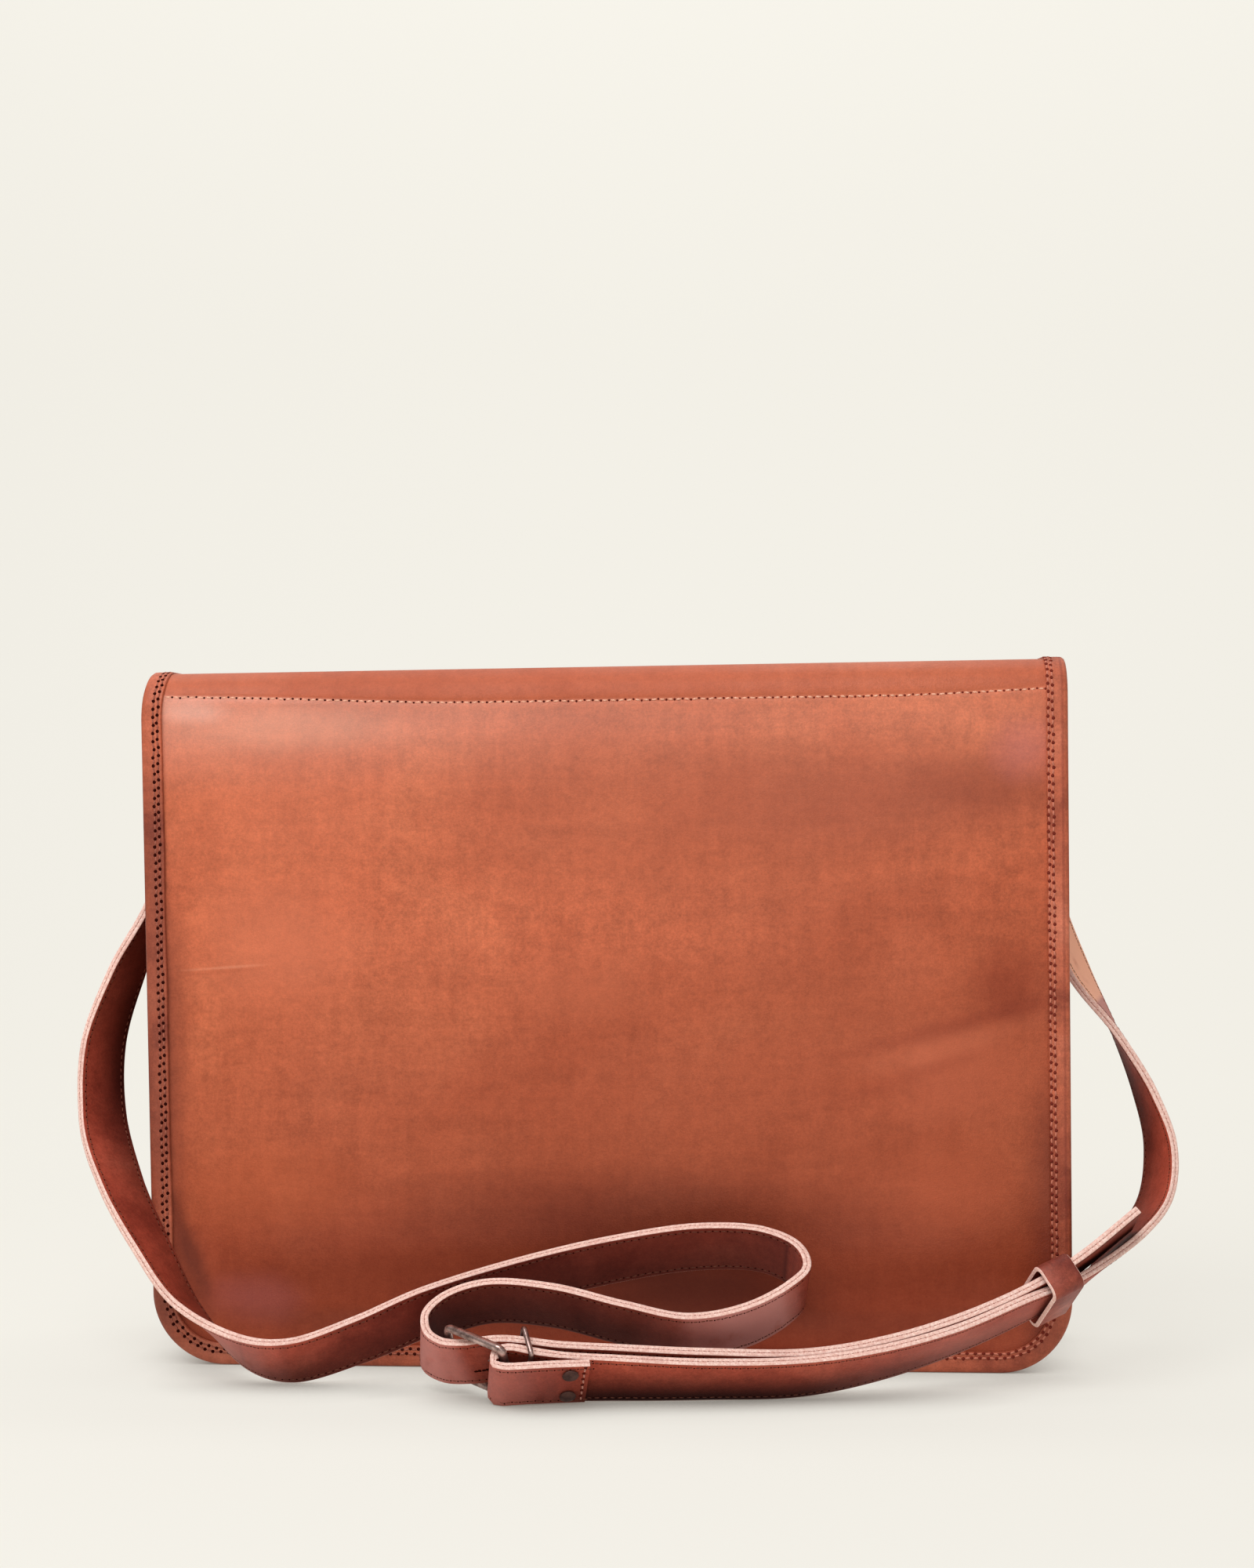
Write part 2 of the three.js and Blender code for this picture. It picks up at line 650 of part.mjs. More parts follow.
add('keeper', loft(keeperSections, true), TAN);

// Two low domed rivets on the viewer's face of the tab
const tab = frameAt(SHORT_STRAP, RIVET_AT, ...TAB_ROWS);
const rivetShares = [[0, 0], [1, 0], [1, 0.4], [0.75, 0.8], [0, 1]];
const rivetProfile = rivetShares.map(([r, h]) => new THREE.Vector2(r * RIVET_RADIUS, h * RIVET_HIGH));
const tabFront = tab.face.y < 0 ? tab.face.clone() : tab.face.clone().negate();
for (const [name, side] of [['tab_rivet_upper', 1], ['tab_rivet_lower', -1]]) {
  const dome = new THREE.LatheGeometry(rivetProfile, 14);
  const seat = tab.middle.clone().addScaledVector(tab.edge, side * RIVET_ASIDE);
  seat.addScaledVector(tabFront, PLY_GAP / 2 + PLY + GAP);
  const turn = new THREE.Quaternion().setFromUnitVectors(new THREE.Vector3(0, 1, 0), tabFront);
  dome.applyQuaternion(turn).translate(seat.x, seat.y, seat.z);
  add(name, dome, BRONZE);
}

export default group;
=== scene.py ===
import math
import bmesh
import bpy
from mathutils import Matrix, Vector, noise


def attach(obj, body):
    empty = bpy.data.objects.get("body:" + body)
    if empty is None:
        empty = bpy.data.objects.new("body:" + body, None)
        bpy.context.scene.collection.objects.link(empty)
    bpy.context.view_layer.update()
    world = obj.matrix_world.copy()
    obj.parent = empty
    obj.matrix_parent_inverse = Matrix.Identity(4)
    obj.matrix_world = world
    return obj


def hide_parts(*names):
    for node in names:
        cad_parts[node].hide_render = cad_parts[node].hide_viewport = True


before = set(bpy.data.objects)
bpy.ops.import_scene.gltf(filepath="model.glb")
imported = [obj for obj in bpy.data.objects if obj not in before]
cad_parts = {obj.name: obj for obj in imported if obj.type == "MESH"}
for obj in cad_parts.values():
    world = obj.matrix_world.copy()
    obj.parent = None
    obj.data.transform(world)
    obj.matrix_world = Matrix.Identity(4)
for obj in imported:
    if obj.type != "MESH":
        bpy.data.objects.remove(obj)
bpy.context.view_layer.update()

scene = bpy.context.scene
scene.view_settings.view_transform = "Standard"


def srgb(r, g, b):
    # photo colour to linear
    out = []
    for c in (r / 255, g / 255, b / 255):
        out.append(c / 12.92 if c <= 0.04045 else ((c + 0.055) / 1.055) ** 2.4)
    return (*out, 1.0)


def smooth(low, high, x):
    t = min(max((x - low) / (high - low), 0), 1)
    return t * t * (3 - 2 * t)


def spread(low, high, step):
    n = max(1, round((high - low) / step))
    return [low + (high - low) * k / n for k in range(n + 1)]


def newObject(name, data):
    obj = bpy.data.objects.new(name, data)
    scene.collection.objects.link(obj)
    return obj


print("stage 1: node groups and materials")


def newGroup(name, inputs, outputs):
    # inputs: label, kind and, where it has one, the value it starts with
    tree = bpy.data.node_groups.new(name, "ShaderNodeTree")
    for label, kind, *start in inputs:
        sock = tree.interface.new_socket(label, in_out="INPUT", socket_type="NodeSocket" + kind)
        if start:
            sock.default_value = start[0]
    for label, kind in outputs:
        tree.interface.new_socket(label, in_out="OUTPUT", socket_type="NodeSocket" + kind)
    return tree, tree.nodes.new("NodeGroupInput").outputs, tree.nodes.new("NodeGroupOutput").inputs


def feed(tree, value, sock):
    # a number or a colour is set on the socket, an output is linked to it
    if isinstance(value, (int, float, tuple)):
        sock.default_value = value
    else:
        tree.links.new(value, sock)


def mathNode(tree, op, a, b=None):
    node = tree.nodes.new("ShaderNodeMath")
    node.operation = op
    feed(tree, a, node.inputs[0])
    if b is not None:
        feed(tree, b, node.inputs[1])
    return node.outputs[0]


def times(tree, first, *others):
    for other in others:
        first = mathNode(tree, "MULTIPLY", first, other)
    return first


def mixColor(tree, factor, a, b):
    node = tree.nodes.new("ShaderNodeMix")
    node.data_type = "RGBA"
    for k, value in ((0, factor), (6, a), (7, b)):
        feed(tree, value, node.inputs[k])
    return node.outputs[2]


def mapRange(tree, value, low, high, toLow=0.0, toHigh=1.0):
    node = tree.nodes.new("ShaderNodeMapRange")
    node.interpolation_type = "SMOOTHSTEP"
    for k, number in enumerate((value, low, high, toLow, toHigh)):
        feed(tree, number, node.inputs[k])
    return node.outputs[0]


def noiseNode(tree, vector, scale, detail=3.0, rough=0.55, distort=0.0):
    node = tree.nodes.new("ShaderNodeTexNoise")
    for label, value in (("Vector", vector), ("Scale", scale), ("Detail", detail), ("Roughness", rough),
                         ("Distortion", distort)):
        feed(tree, value, node.inputs[label])
    return node.outputs["Fac"]


def placeIn(tree, vector):
    node = tree.nodes.new("ShaderNodeSeparateXYZ")
    tree.links.new(vector, node.inputs[0])
    return node.outputs


def attribute(tree, name):
    node = tree.nodes.new("ShaderNodeAttribute")
    node.attribute_name = name
    return node.outputs["Fac"]


# fine pebble of the skin, height about 0..1
grain, gIn, gOut = newGroup("leatherGrain", [("Vector", "Vector"), ("Cell Scale", "Float", 900.0)],
                            [("Height", "Float"), ("Pores", "Float")])
cells = grain.nodes.new("ShaderNodeTexVoronoi")
cells.feature = "DISTANCE_TO_EDGE"
grain.links.new(gIn["Vector"], cells.inputs["Vector"])
grain.links.new(gIn["Cell Scale"], cells.inputs["Scale"])
pebble = mapRange(grain, cells.outputs["Distance"], 0.0, 0.35, 0.0, 0.45)
fine = noiseNode(grain, gIn["Vector"], 2600.0, 2.0)
soft = noiseNode(grain, gIn["Vector"], 240.0, 3.0)
height = mathNode(grain, "ADD", pebble, times(grain, fine, 0.25))
height = mathNode(grain, "ADD", height, times(grain, soft, 0.6))
grain.links.new(height, gOut["Height"])
grain.links.new(mapRange(grain, fine, 0.62, 0.75), gOut["Pores"])

# cloudy pull-up colour between three tones
tone, tIn, tOut = newGroup("leatherTone", [
    ("Vector", "Vector"), ("Light", "Color"), ("Mid", "Color"), ("Dark", "Color"),
    ("Cloud Scale", "Float", 9.0)], [("Color", "Color"), ("Cloud", "Float")])


def stroked(size):
    node = tone.nodes.new("ShaderNodeVectorMath")
    node.operation = "MULTIPLY"
    node.inputs[1].default_value = size
    tone.links.new(tIn["Vector"], node.inputs[0])
    return noiseNode(tone, node.outputs[0], 1.0, 3.0, 0.65)


cloud = noiseNode(tone, tIn["Vector"], tIn["Cloud Scale"], 5.0, 0.6, 0.4)
streak = noiseNode(tone, tIn["Vector"], 60.0, 4.0, 0.6)
speck = noiseNode(tone, tIn["Vector"], 420.0, 3.0, 0.7)
fibres = stroked((90.0, 300.0, 700.0))
color = mixColor(tone, mapRange(tone, cloud, 0.36, 0.52), tIn["Dark"], tIn["Mid"])
color = mixColor(tone, mapRange(tone, cloud, 0.5, 0.68), color, tIn["Light"])
color = mixColor(tone, mapRange(tone, streak, 0.52, 0.72, 0.0, 0.22), color, tIn["Dark"])
color = mixColor(tone, mapRange(tone, speck, 0.5, 0.72, 0.0, 0.2), color, tIn["Light"])
color = mixColor(tone, mapRange(tone, fibres, 0.5, 0.7, 0.0, 0.2), color, tIn["Dark"])
grit = mapRange(tone, noiseNode(tone, tIn["Vector"], 800.0, 4.0, 0.8), 0.3, 0.7, -0.16, 0.16)
blotch = mapRange(tone, noiseNode(tone, tIn["Vector"], 230.0, 3.0, 0.6), 0.3, 0.7, -0.09, 0.09)
rubbed = mathNode(tone, "ADD", stroked((150.0, 60.0, 22.0)), stroked((20.0, 60.0, 130.0)))  # up and across
strokes = mapRange(tone, rubbed, 0.7, 1.3, 0.9, 1.1)
gain = tone.nodes.new("ShaderNodeVectorMath")
gain.operation = "SCALE"
tone.links.new(color, gain.inputs[0])
tone.links.new(mathNode(tone, "ADD", mathNode(tone, "ADD", grit, blotch), strokes), gain.inputs["Scale"])
tone.links.new(gain.outputs[0], tOut["Color"])
tone.links.new(cloud, tOut["Cloud"])

# soft oval patch on the back, seen along Y
patch, pIn, pOut = newGroup("softPatch", [
    ("Vector", "Vector"), ("Middle X", "Float", 0.0), ("Middle Z", "Float", 0.0),
    ("Reach X", "Float", 0.03), ("Reach Z", "Float", 0.02), ("Strength", "Float", 0.5),
    ("Ragged", "Float", 0.9), ("Slope", "Float", 0.0)], [("Mask", "Float")])
spot = placeIn(patch, pIn["Vector"])
wobble = mathNode(patch, "SUBTRACT", noiseNode(patch, pIn["Vector"], 45.0), 0.5)
aside = mathNode(patch, "SUBTRACT", spot["X"], pIn["Middle X"])
above = mathNode(patch, "SUBTRACT", spot["Z"], pIn["Middle Z"])
above = mathNode(patch, "SUBTRACT", above, times(patch, aside, pIn["Slope"]))
dx = mathNode(patch, "DIVIDE", aside, pIn["Reach X"])
dz = mathNode(patch, "DIVIDE", above, pIn["Reach Z"])
away = mathNode(patch, "SQRT", mathNode(patch, "ADD", times(patch, dx, dx), times(patch, dz, dz)))
away = mathNode(patch, "ADD", away, times(patch, wobble, pIn["Ragged"]))
near = mapRange(patch, away, 0.15, 1.15, 1.0, 0.0)
onBack = mapRange(patch, spot["Y"], 0.002, 0.01, 1.0, 0.0)
patch.links.new(times(patch, near, onBack, pIn["Strength"]), pOut["Mask"])

# painted light on the straps: painted shade in the bends and darker towards the floor side, a patchy painted
# sheen and painted highlight on stretches that catch the light, and a pale painted highlight along the edges
strapShading, oIn, oOut = newGroup("paintedStrapLight", [("Vector", "Vector"), ("Color", "Color")], [("Color", "Color")])
acrossPly = attribute(strapShading, "across")
paintedSheen = attribute(strapShading, "paintedSheen")
under = times(strapShading, mapRange(strapShading, acrossPly, 0.92, -0.92), attribute(strapShading, "under"))
sheenColor = mixColor(strapShading, mapRange(strapShading, paintedSheen, 0.94, 1.0), srgb(206, 140, 132), srgb(255, 184, 152))
patchySheen = times(strapShading, paintedSheen, mapRange(strapShading, noiseNode(strapShading, oIn["Vector"], 70.0, 4.0), 0.1, 0.5))
rimHighlight = mapRange(strapShading, mathNode(strapShading, "ABSOLUTE", acrossPly), 0.93, 1.0, 0.0, 0.4)
color = mixColor(strapShading, attribute(strapShading, "paintedShade"), oIn["Color"], srgb(66, 16, 12))
color = mixColor(strapShading, under, color, srgb(40, 10, 8))
color = mixColor(strapShading, patchySheen, color, sheenColor)
color = mixColor(strapShading, rimHighlight, color, srgb(206, 134, 116))
strapShading.links.new(color, oOut["Color"])

# twist of the thread, and the walls of its holes
twist, wIn, wOut = newGroup("threadTwist", [("Vector", "Vector"), ("Light", "Color"), ("Dark", "Color")],
                            [("Color", "Color"), ("Height", "Float")])
strand = noiseNode(twist, wIn["Vector"], 1500.0, 2.0)
color = mixColor(twist, mapRange(twist, strand, 0.3, 0.7), wIn["Dark"], wIn["Light"])
twist.links.new(color, wOut["Color"])
twist.links.new(strand, wOut["Height"])

# patina of the metal fittings
patina, aIn, aOut = newGroup("agedPatina", [("Vector", "Vector"), ("Light", "Color"), ("Dark", "Color")],
                             [("Color", "Color"), ("Wear", "Float"), ("Height", "Float")])
wear = noiseNode(patina, aIn["Vector"], 160.0, 5.0, 0.65)
color = mixColor(patina, mapRange(patina, wear, 0.38, 0.64), aIn["Dark"], aIn["Light"])
patina.links.new(color, aOut["Color"])
patina.links.new(wear, aOut["Wear"])
patina.links.new(noiseNode(patina, aIn["Vector"], 900.0, 3.0, 0.6), aOut["Height"])


def useGroup(tree, group, vector, **values):
    node = tree.nodes.new("ShaderNodeGroup")
    node.node_tree = group
    tree.links.new(vector, node.inputs["Vector"])
    for key, value in values.items():
        feed(tree, value, node.inputs[key.replace("_", " ")])
    return node.outputs


def newMaterial(name):
    mat = bpy.data.materials.new(name)
    mat.use_nodes = True
    tree = mat.node_tree
    coords = tree.nodes.new("ShaderNodeTexCoord").outputs["Object"]
    return mat, tree, tree.nodes["Principled BSDF"], coords


def dress(tree, shader, **values):
    for key, value in values.items():
        feed(tree, value, shader.inputs[key.replace("_", " ")])


def bumpInto(tree, shader, height, strength, distance):
    node = tree.nodes.new("ShaderNodeBump")
    node.inputs["Strength"].default_value = strength
    node.inputs["Distance"].default_value = distance
    tree.links.new(height, node.inputs["Height"])
    tree.links.new(node.outputs["Normal"], shader.inputs["Normal"])


def leather(name, tones, cloudScale=9.0, cellScale=900.0, rough=(0.42, 0.58), shine=0.24):
    mat, tree, shader, coords = newMaterial(name)
    light, mid, dark = (srgb(*shade) for shade in tones)
    dyed = useGroup(tree, tone, coords, Light=light, Mid=mid, Dark=dark, Cloud_Scale=cloudScale)
    skin = useGroup(tree, grain, coords, Cell_Scale=cellScale)
    color = mixColor(tree, times(tree, skin["Pores"], 0.18), dyed["Color"], dark)
    dull = mapRange(tree, dyed["Cloud"], 0.3, 0.7, rough[1], rough[0])
    dress(tree, shader, Base_Color=color, Roughness=dull, Specular_IOR_Level=shine)
    bumpInto(tree, shader, skin["Height"], 0.3, 0.0004)
    return mat, tree, shader, coords, color


def addWashes(tree, color, fields, washes):
    # washes: colour, then ramps: field, its two ends, strength at each
    for shade, *ramps in washes:
        masks = [mapRange(tree, fields[field], *ends) for field, *ends in ramps]
        color = mixColor(tree, times(tree, *masks), color, srgb(*shade))
    return color


def addPatches(tree, color, coords, patches):
    # patches: x, z, reach x, reach z, slope, strength, raggedness, colour
    for x, z, reachX, reachZ, slope, strength, ragged, shade in patches:
        made = useGroup(tree, patch, coords, Middle_X=x, Middle_Z=z, Reach_X=reachX, Reach_Z=reachZ,
                        Slope=slope, Strength=strength, Ragged=ragged)
        color = mixColor(tree, made["Mask"], color, srgb(*shade))
    return color


hideWashesAndPaintedLight = [
    ((172, 86, 58), ("seam", 0.0001, 0.0012), ("Z", 0.288, 0.293, 0.0, 0.55)),  # band over the seam
    ((142, 58, 30), ("Z", 0.215, 0.12, 0.0, 0.5), ("X", -0.2, 0.0, 0.55, 1.0)),  # painted shade below the middle, stronger towards the right
    # painted shade towards the foot, where the back faces down
    ((122, 34, 14), ("Z", 0.1, 0.035, 0.0, 0.5)),
    ((96, 34, 24), ("X", -0.184, -0.197), ("Z", 0.24, 0.16, 0.0, 0.5)),  # painted shade in the gutters beside the tape
    ((92, 32, 22), ("X", 0.178, 0.194), ("Z", 0.15, 0.09, 0.0, 0.5)),
    # painted sheen: pale crown under the seam
    ((240, 184, 166), ("Z", 0.246, 0.291), ("X", -0.22, 0.14, 0.3, 0.08), ("seam", 0.0012, 0.0001)),
]
# patches of tone, with painted highlight, sheen, shade and shadow where marked
hidePatchesAndPaintedLight = [
    # painted highlight and painted sheen at the top left
    (-0.186, 0.290, 0.020, 0.007, 0, 0.24, 0.6, (244, 204, 190)),
    (-0.140, 0.282, 0.060, 0.013, 0, 0.20, 0.5, (240, 180, 152)),
    (-0.150, 0.245, 0.080, 0.040, 0, 0.22, 0.4, (218, 126, 92)),
    (0.000, 0.246, 0.130, 0.045, 0, 0.42, 0.4, (164, 84, 58)),
    (0.090, 0.222, 0.090, 0.040, 0, 0.28, 0.4, (160, 78, 52)),
    (-0.150, 0.189, 0.050, 0.040, 0, 0.5, 0.4, (212, 118, 84)),
    (-0.010, 0.168, 0.035, 0.022, 0, 0.28, 0.4, (206, 112, 78)),
    (0.155, 0.132, 0.040, 0.030, 0, 0.34, 0.4, (206, 108, 76)),
    (0.152, 0.082, 0.040, 0.026, 0, 0.42, 0.4, (196, 96, 62)),
    (0.110, 0.255, 0.100, 0.032, 0, 0.55, 0.4, (150, 74, 52)),
    (0.165, 0.256, 0.050, 0.018, 0, 0.42, 0.5, (134, 62, 42)),
    # painted sheen at the top right
    (0.182, 0.274, 0.018, 0.018, 0, 0.40, 0.6, (180, 104, 102)),
    (0.110, 0.172, 0.090, 0.050, 0, 0.28, 0.4, (146, 66, 40)),
    (0.176, 0.168, 0.024, 0.024, 0, 0.5, 0.6, (124, 42, 20)),
    (-0.150, 0.080, 0.050, 0.026, 0, 0.30, 0.5, (196, 96, 56)),
    # painted shade above the strap loop, then painted shadow of the loop on the back
    (0.010, 0.066, 0.120, 0.030, 0, 0.48, 0.3, (82, 20, 6)),
    (0.035, 0.036, 0.080, 0.022, 0, 0.62, 0.3, (60, 18, 12)),
    # painted sheen low on the left
    (-0.155, 0.030, 0.028, 0.014, 0, 0.40, 0.5, (164, 90, 86)),
    (-0.172, 0.1765, 0.024, 0.0009, 0.08, 0.22, 0.7, (232, 164, 132)),  # from here on wrinkles, painted as paler and darker lines: painted highlight and painted shade
    (-0.174, 0.1745, 0.026, 0.0014, 0.09, 0.22, 0.7, (146, 66, 42)),
    (0.152, 0.1525, 0.055, 0.0060, 0.27, 0.36, 0.7, (124, 46, 28)),
    (0.150, 0.1440, 0.055, 0.0080, 0.27, 0.18, 0.7, (214, 120, 86)),
    (0.130, 0.1300, 0.045, 0.0045, 0.35, 0.18, 0.7, (134, 52, 32)),
    # painted shade beside the left tape, where the strap shades the back
    (-0.187, 0.0500, 0.013, 0.0180, -2.0, 0.6, 0.7, (74, 24, 16)),
]


def backLeather():
    tones = ((198, 106, 71), (188, 96, 63), (174, 85, 54))
    mat, tree, shader, coords, color = leather("hideLeather", tones)
    place = placeIn(tree, coords)
    fields = {"X": place["X"], "Z": place["Z"], "seam": attribute(tree, "pastSeam")}
    color = addWashes(tree, color, fields, hideWashesAndPaintedLight)
    dress(tree, shader, Base_Color=addPatches(tree, color, coords, hidePatchesAndPaintedLight))
    return mat


tapeWashes = [
    ((96, 42, 34), ("X", -0.185, -0.203), ("Z", 0.285, 0.235, 0.0, 0.45)),  # painted shade on the left side
    ((112, 46, 34), ("Z", 0.05, 0.012, 0.0, 0.24)),  # foot
    ((112, 42, 36), ("fold", 0.0002, 0.0009, 0.36, 0.0), ("Z", 0.03, 0.07)),  # painted shade in the crease down the right side
]
tapePatches = [
    (-0.168, 0.008, 0.030, 0.008, 0, 0.2, 0.9, (214, 140, 116)),
    (-0.197, 0.026, 0.010, 0.022, 0, 0.35, 0.9, (96, 42, 32)),
    (0.186, 0.022, 0.016, 0.020, 0, 0.35, 0.9, (120, 58, 46)),
]
tapeFold = {"x": 0.2004, "slant": 0.0075}


def bindingLeather():
    tones = ((204, 116, 88), (182, 94, 66), (142, 66, 46))
    mat, tree, shader, coords, color = leather("tapeLeather", tones, 14.0, 1000.0)
    place = placeIn(tree, coords)
    fold = mathNode(tree, "ADD", place["X"], times(tree, place["Z"], tapeFold["slant"]))
    fold = mathNode(tree, "ABSOLUTE", mathNode(tree, "SUBTRACT", fold, tapeFold["x"]))
    color = addWashes(tree, color, {"X": place["X"], "Z": place["Z"], "fold": fold}, tapeWashes)
    dress(tree, shader, Base_Color=addPatches(tree, color, coords, tapePatches))
    return mat


def strapLeather(name, tones):
    mat, tree, shader, coords, color = leather(name, tones, 16.0, 1000.0, (0.5, 0.62), 0.08)
    dress(tree, shader, Base_Color=useGroup(tree, strapShading, coords, Color=color)["Color"])
    return mat


def rawEdge():
    # pale fibres of the cut, dirty in places
    mat, tree, shader, coords = newMaterial("strapEdge")
    fibre = noiseNode(tree, coords, 900.0, 4.0, 0.7)
    dirt = noiseNode(tree, coords, 70.0, 3.0, 0.6)
    color = mixColor(tree, mapRange(tree, fibre, 0.35, 0.7), srgb(228, 178, 164), srgb(252, 222, 210))
    color = mixColor(tree, mapRange(tree, dirt, 0.55, 0.75, 0.0, 0.3), color, srgb(200, 140, 126))
    dress(tree, shader, Base_Color=color, Roughness=0.85)
    bumpInto(tree, shader, fibre, 0.3, 0.0003)
    return mat


def threadLike(name, light, dark, rough=0.7, shine=0.3, litRight=None):
    mat, tree, shader, coords = newMaterial(name)
    spun = useGroup(tree, twist, coords, Light=srgb(*light), Dark=srgb(*dark))
    color = spun["Color"]
    if litRight:  # painted light: lighter towards the right, where the tape is less shaded
        color = mixColor(tree, mapRange(tree, placeIn(tree, coords)["X"], -0.16, 0.17), color, srgb(*litRight))
    dress(tree, shader, Base_Color=color, Roughness=rough, Specular_IOR_Level=shine)
    bumpInto(tree, shader, spun["Height"], 0.3, 0.0002)
    return mat


def agedMetal(name, light, dark, metallic, rough):
    mat, tree, shader, coords = newMaterial(name)
    aged = useGroup(tree, patina, coords, Light=srgb(*light), Dark=srgb(*dark))
    dull = mapRange(tree, aged["Wear"], 0.35, 0.7, rough + 0.16, rough)
    dress(tree, shader, Base_Color=aged["Color"], Roughness=dull, Metallic=metallic)
    bumpInto(tree, shader, aged["Height"], 0.15, 0.0003)
    return mat


hideLeather = backLeather()
tapeLeather = bindingLeather()
gussetLeather = leather("gussetLeather", ((178, 92, 62), (156, 76, 50), (118, 54, 36)), 12.0)[0]
strapFace = strapLeather("strapFace", ((198, 96, 74), (180, 80, 60), (152, 62, 46)))
strapLining = strapLeather("strapLining", ((194, 94, 72), (176, 78, 58), (148, 60, 44)))
keeperTones = ((174, 92, 74), (154, 75, 58), (126, 56, 45))
keeperLeather = leather("keeperLeather", keeperTones, 40.0, 1000.0, (0.42, 0.52))[0]
strapEdge = rawEdge()
tanThread = threadLike("tanThread", (172, 98, 78), (132, 70, 54), litRight=(194, 116, 94))
brownThread = threadLike("brownThread", (120, 66, 46), (84, 40, 28))
edgeThread = threadLike("edgeThread", (196, 136, 120), (160, 102, 88), 0.8)
paleThread = threadLike("paleThread", (204, 146, 130), (172, 112, 98))
seamThread = threadLike("seamThread", (238, 184, 158), (216, 150, 122))
# these two hole colours are painted shade in the stitch holes
holeShade = threadLike("holeShade", (52, 16, 10), (36, 10, 6), 0.9, 0.0)
tapeHoleShade = threadLike("tapeHoleShade", (56, 16, 12), (40, 10, 8), 0.9, 0.0, (116, 46, 36))
bronze = agedMetal("agedBronze", (204, 174, 166), (116, 92, 86), 0.9, 0.26)
rivetBronze = agedMetal("rivetBronze", (90, 58, 50), (62, 36, 32), 0.5, 0.5)

print("stage 2: body shapes")

bag = {
    "halfWidth": 0.203, "depth": 0.088, "corner": 0.032, "top": 0.3086, "backRoll": 0.014, "frontRoll": 0.018,
    "flapFront": 0.0955, "flapHang": 0.052, "flapCorner": 0.036, "gussetTop": 0.282, "mouth": 0.276,
    "lean": 0.0144, "tilt": 0.0031, "flare": 0.0105, "gap": 0.0003,
}
tape = {
    "thick": 0.0015, "reach": 0.0094, "under": 0.0078, "round": 0.0016, "footRound": 0.0012,
    "rows": (0.0062, 0.0081), "drift": 0.0006, "pitch": 0.0036, "drawIn": 0.0024, "drawFrom": -0.14,
    "pressFrom": 0.006, "thinned": 0.5, "closed": 0.6, "pucker": 0.00011, "wander": 0.00035, "wanderRate": 30,
}
hide = {
    "thick": 0.0019, "rise": 0.058, "power": 1.3, "frontSwell": 0.0035, "flapSwell": 0.003,
    "ripple": 0.0009, "fineRipple": 0.0002, "frontRipple": 0.0006, "groove": 0.00035, "grooveHalf": 0.0011,
    "grooveFade": 0.006, "footEnd": 0.045,
}
seamLine = [(-0.2, 0.2990), (-0.05, 0.2949), (0.13, 0.2950), (0.2, 0.2968)]  # u and v of the top seam
backSwell = [  # height, how far the back stands out
    (0, 0), (0.011, 0), (0.030, 0.005), (0.058, 0.009), (0.100, 0.0095),
    (0.160, 0.007), (0.225, 0.004), (0.275, 0.0015), (0.296, 0),
]

# the hide is laid out flat in u and v, v running up the back, over the top and down the flap
edgeIn = tape["thick"] + bag["gap"]
backRise = bag["top"] - bag["backRoll"]
rollEnd = backRise + bag["backRoll"] * math.pi / 2
topEnd = rollEnd + bag["flapFront"] - bag["backRoll"] - bag["frontRoll"]
fallStart = topEnd + bag["frontRoll"] * math.pi / 2
hideEnd = fallStart + bag["top"] - bag["frontRoll"] - bag["flapHang"]


def settle(x, y, z):
    # the standing bag leans to the left, widens upwards and is higher at the right
    high = z / bag["top"]
    across = x * (1 + bag["flare"] * high) - bag["lean"] * z
    return Vector((across, y, z + bag["tilt"] * x / bag["halfWidth"] * high))


def hideLine(v):
    if v <= backRise:
        return 0, v, -1, 0
    if v <= rollEnd:
        a = (v - backRise) / bag["backRoll"]
        ny, nz = -math.cos(a), math.sin(a)
        return bag["backRoll"] * (1 + ny), backRise + bag["backRoll"] * nz, ny, nz
    if v <= topEnd:
        return bag["backRoll"] + v - rollEnd, bag["top"], 0, 1
    if v <= fallStart:
        r = bag["frontRoll"]
        a = (v - topEnd) / r
        ny, nz = math.sin(a), math.cos(a)
        return bag["flapFront"] - r + r * ny, bag["top"] - r + r * nz, ny, nz
    return bag["flapFront"], bag["top"] - bag["frontRoll"] - (v - fallStart), 1, 0


def overTop(v):
    return smooth(backRise - tape["pressFrom"], rollEnd, v) * (1 - smooth(topEnd, fallStart, v))


def onHide(u, v, n):
    y, z, ny, nz = hideLine(v)
    drawn = tape["drawIn"] * overTop(v) * smooth(tape["drawFrom"], -bag["halfWidth"], u)
    return settle(u + drawn, y + n * ny, z + n * nz)


def onFront(u, v, n):
    return settle(u, bag["depth"] + n, v)


def readTable(table, at):
    for (before, low), (after, high) in zip(table, table[1:]):
        if at <= after:
            return low + (high - low) * smooth(before, after, at)
    return table[-1][1]


def halfAt(v, half, corner):
    if v >= corner:
        return half
    return half - corner + math.sqrt(max(corner * corner - (corner - v) ** 2, 0))


def swellShare(inward):
    return math.sin(min(max(inward / hide["rise"], 0), 1) * math.pi / 2) ** hide["power"]


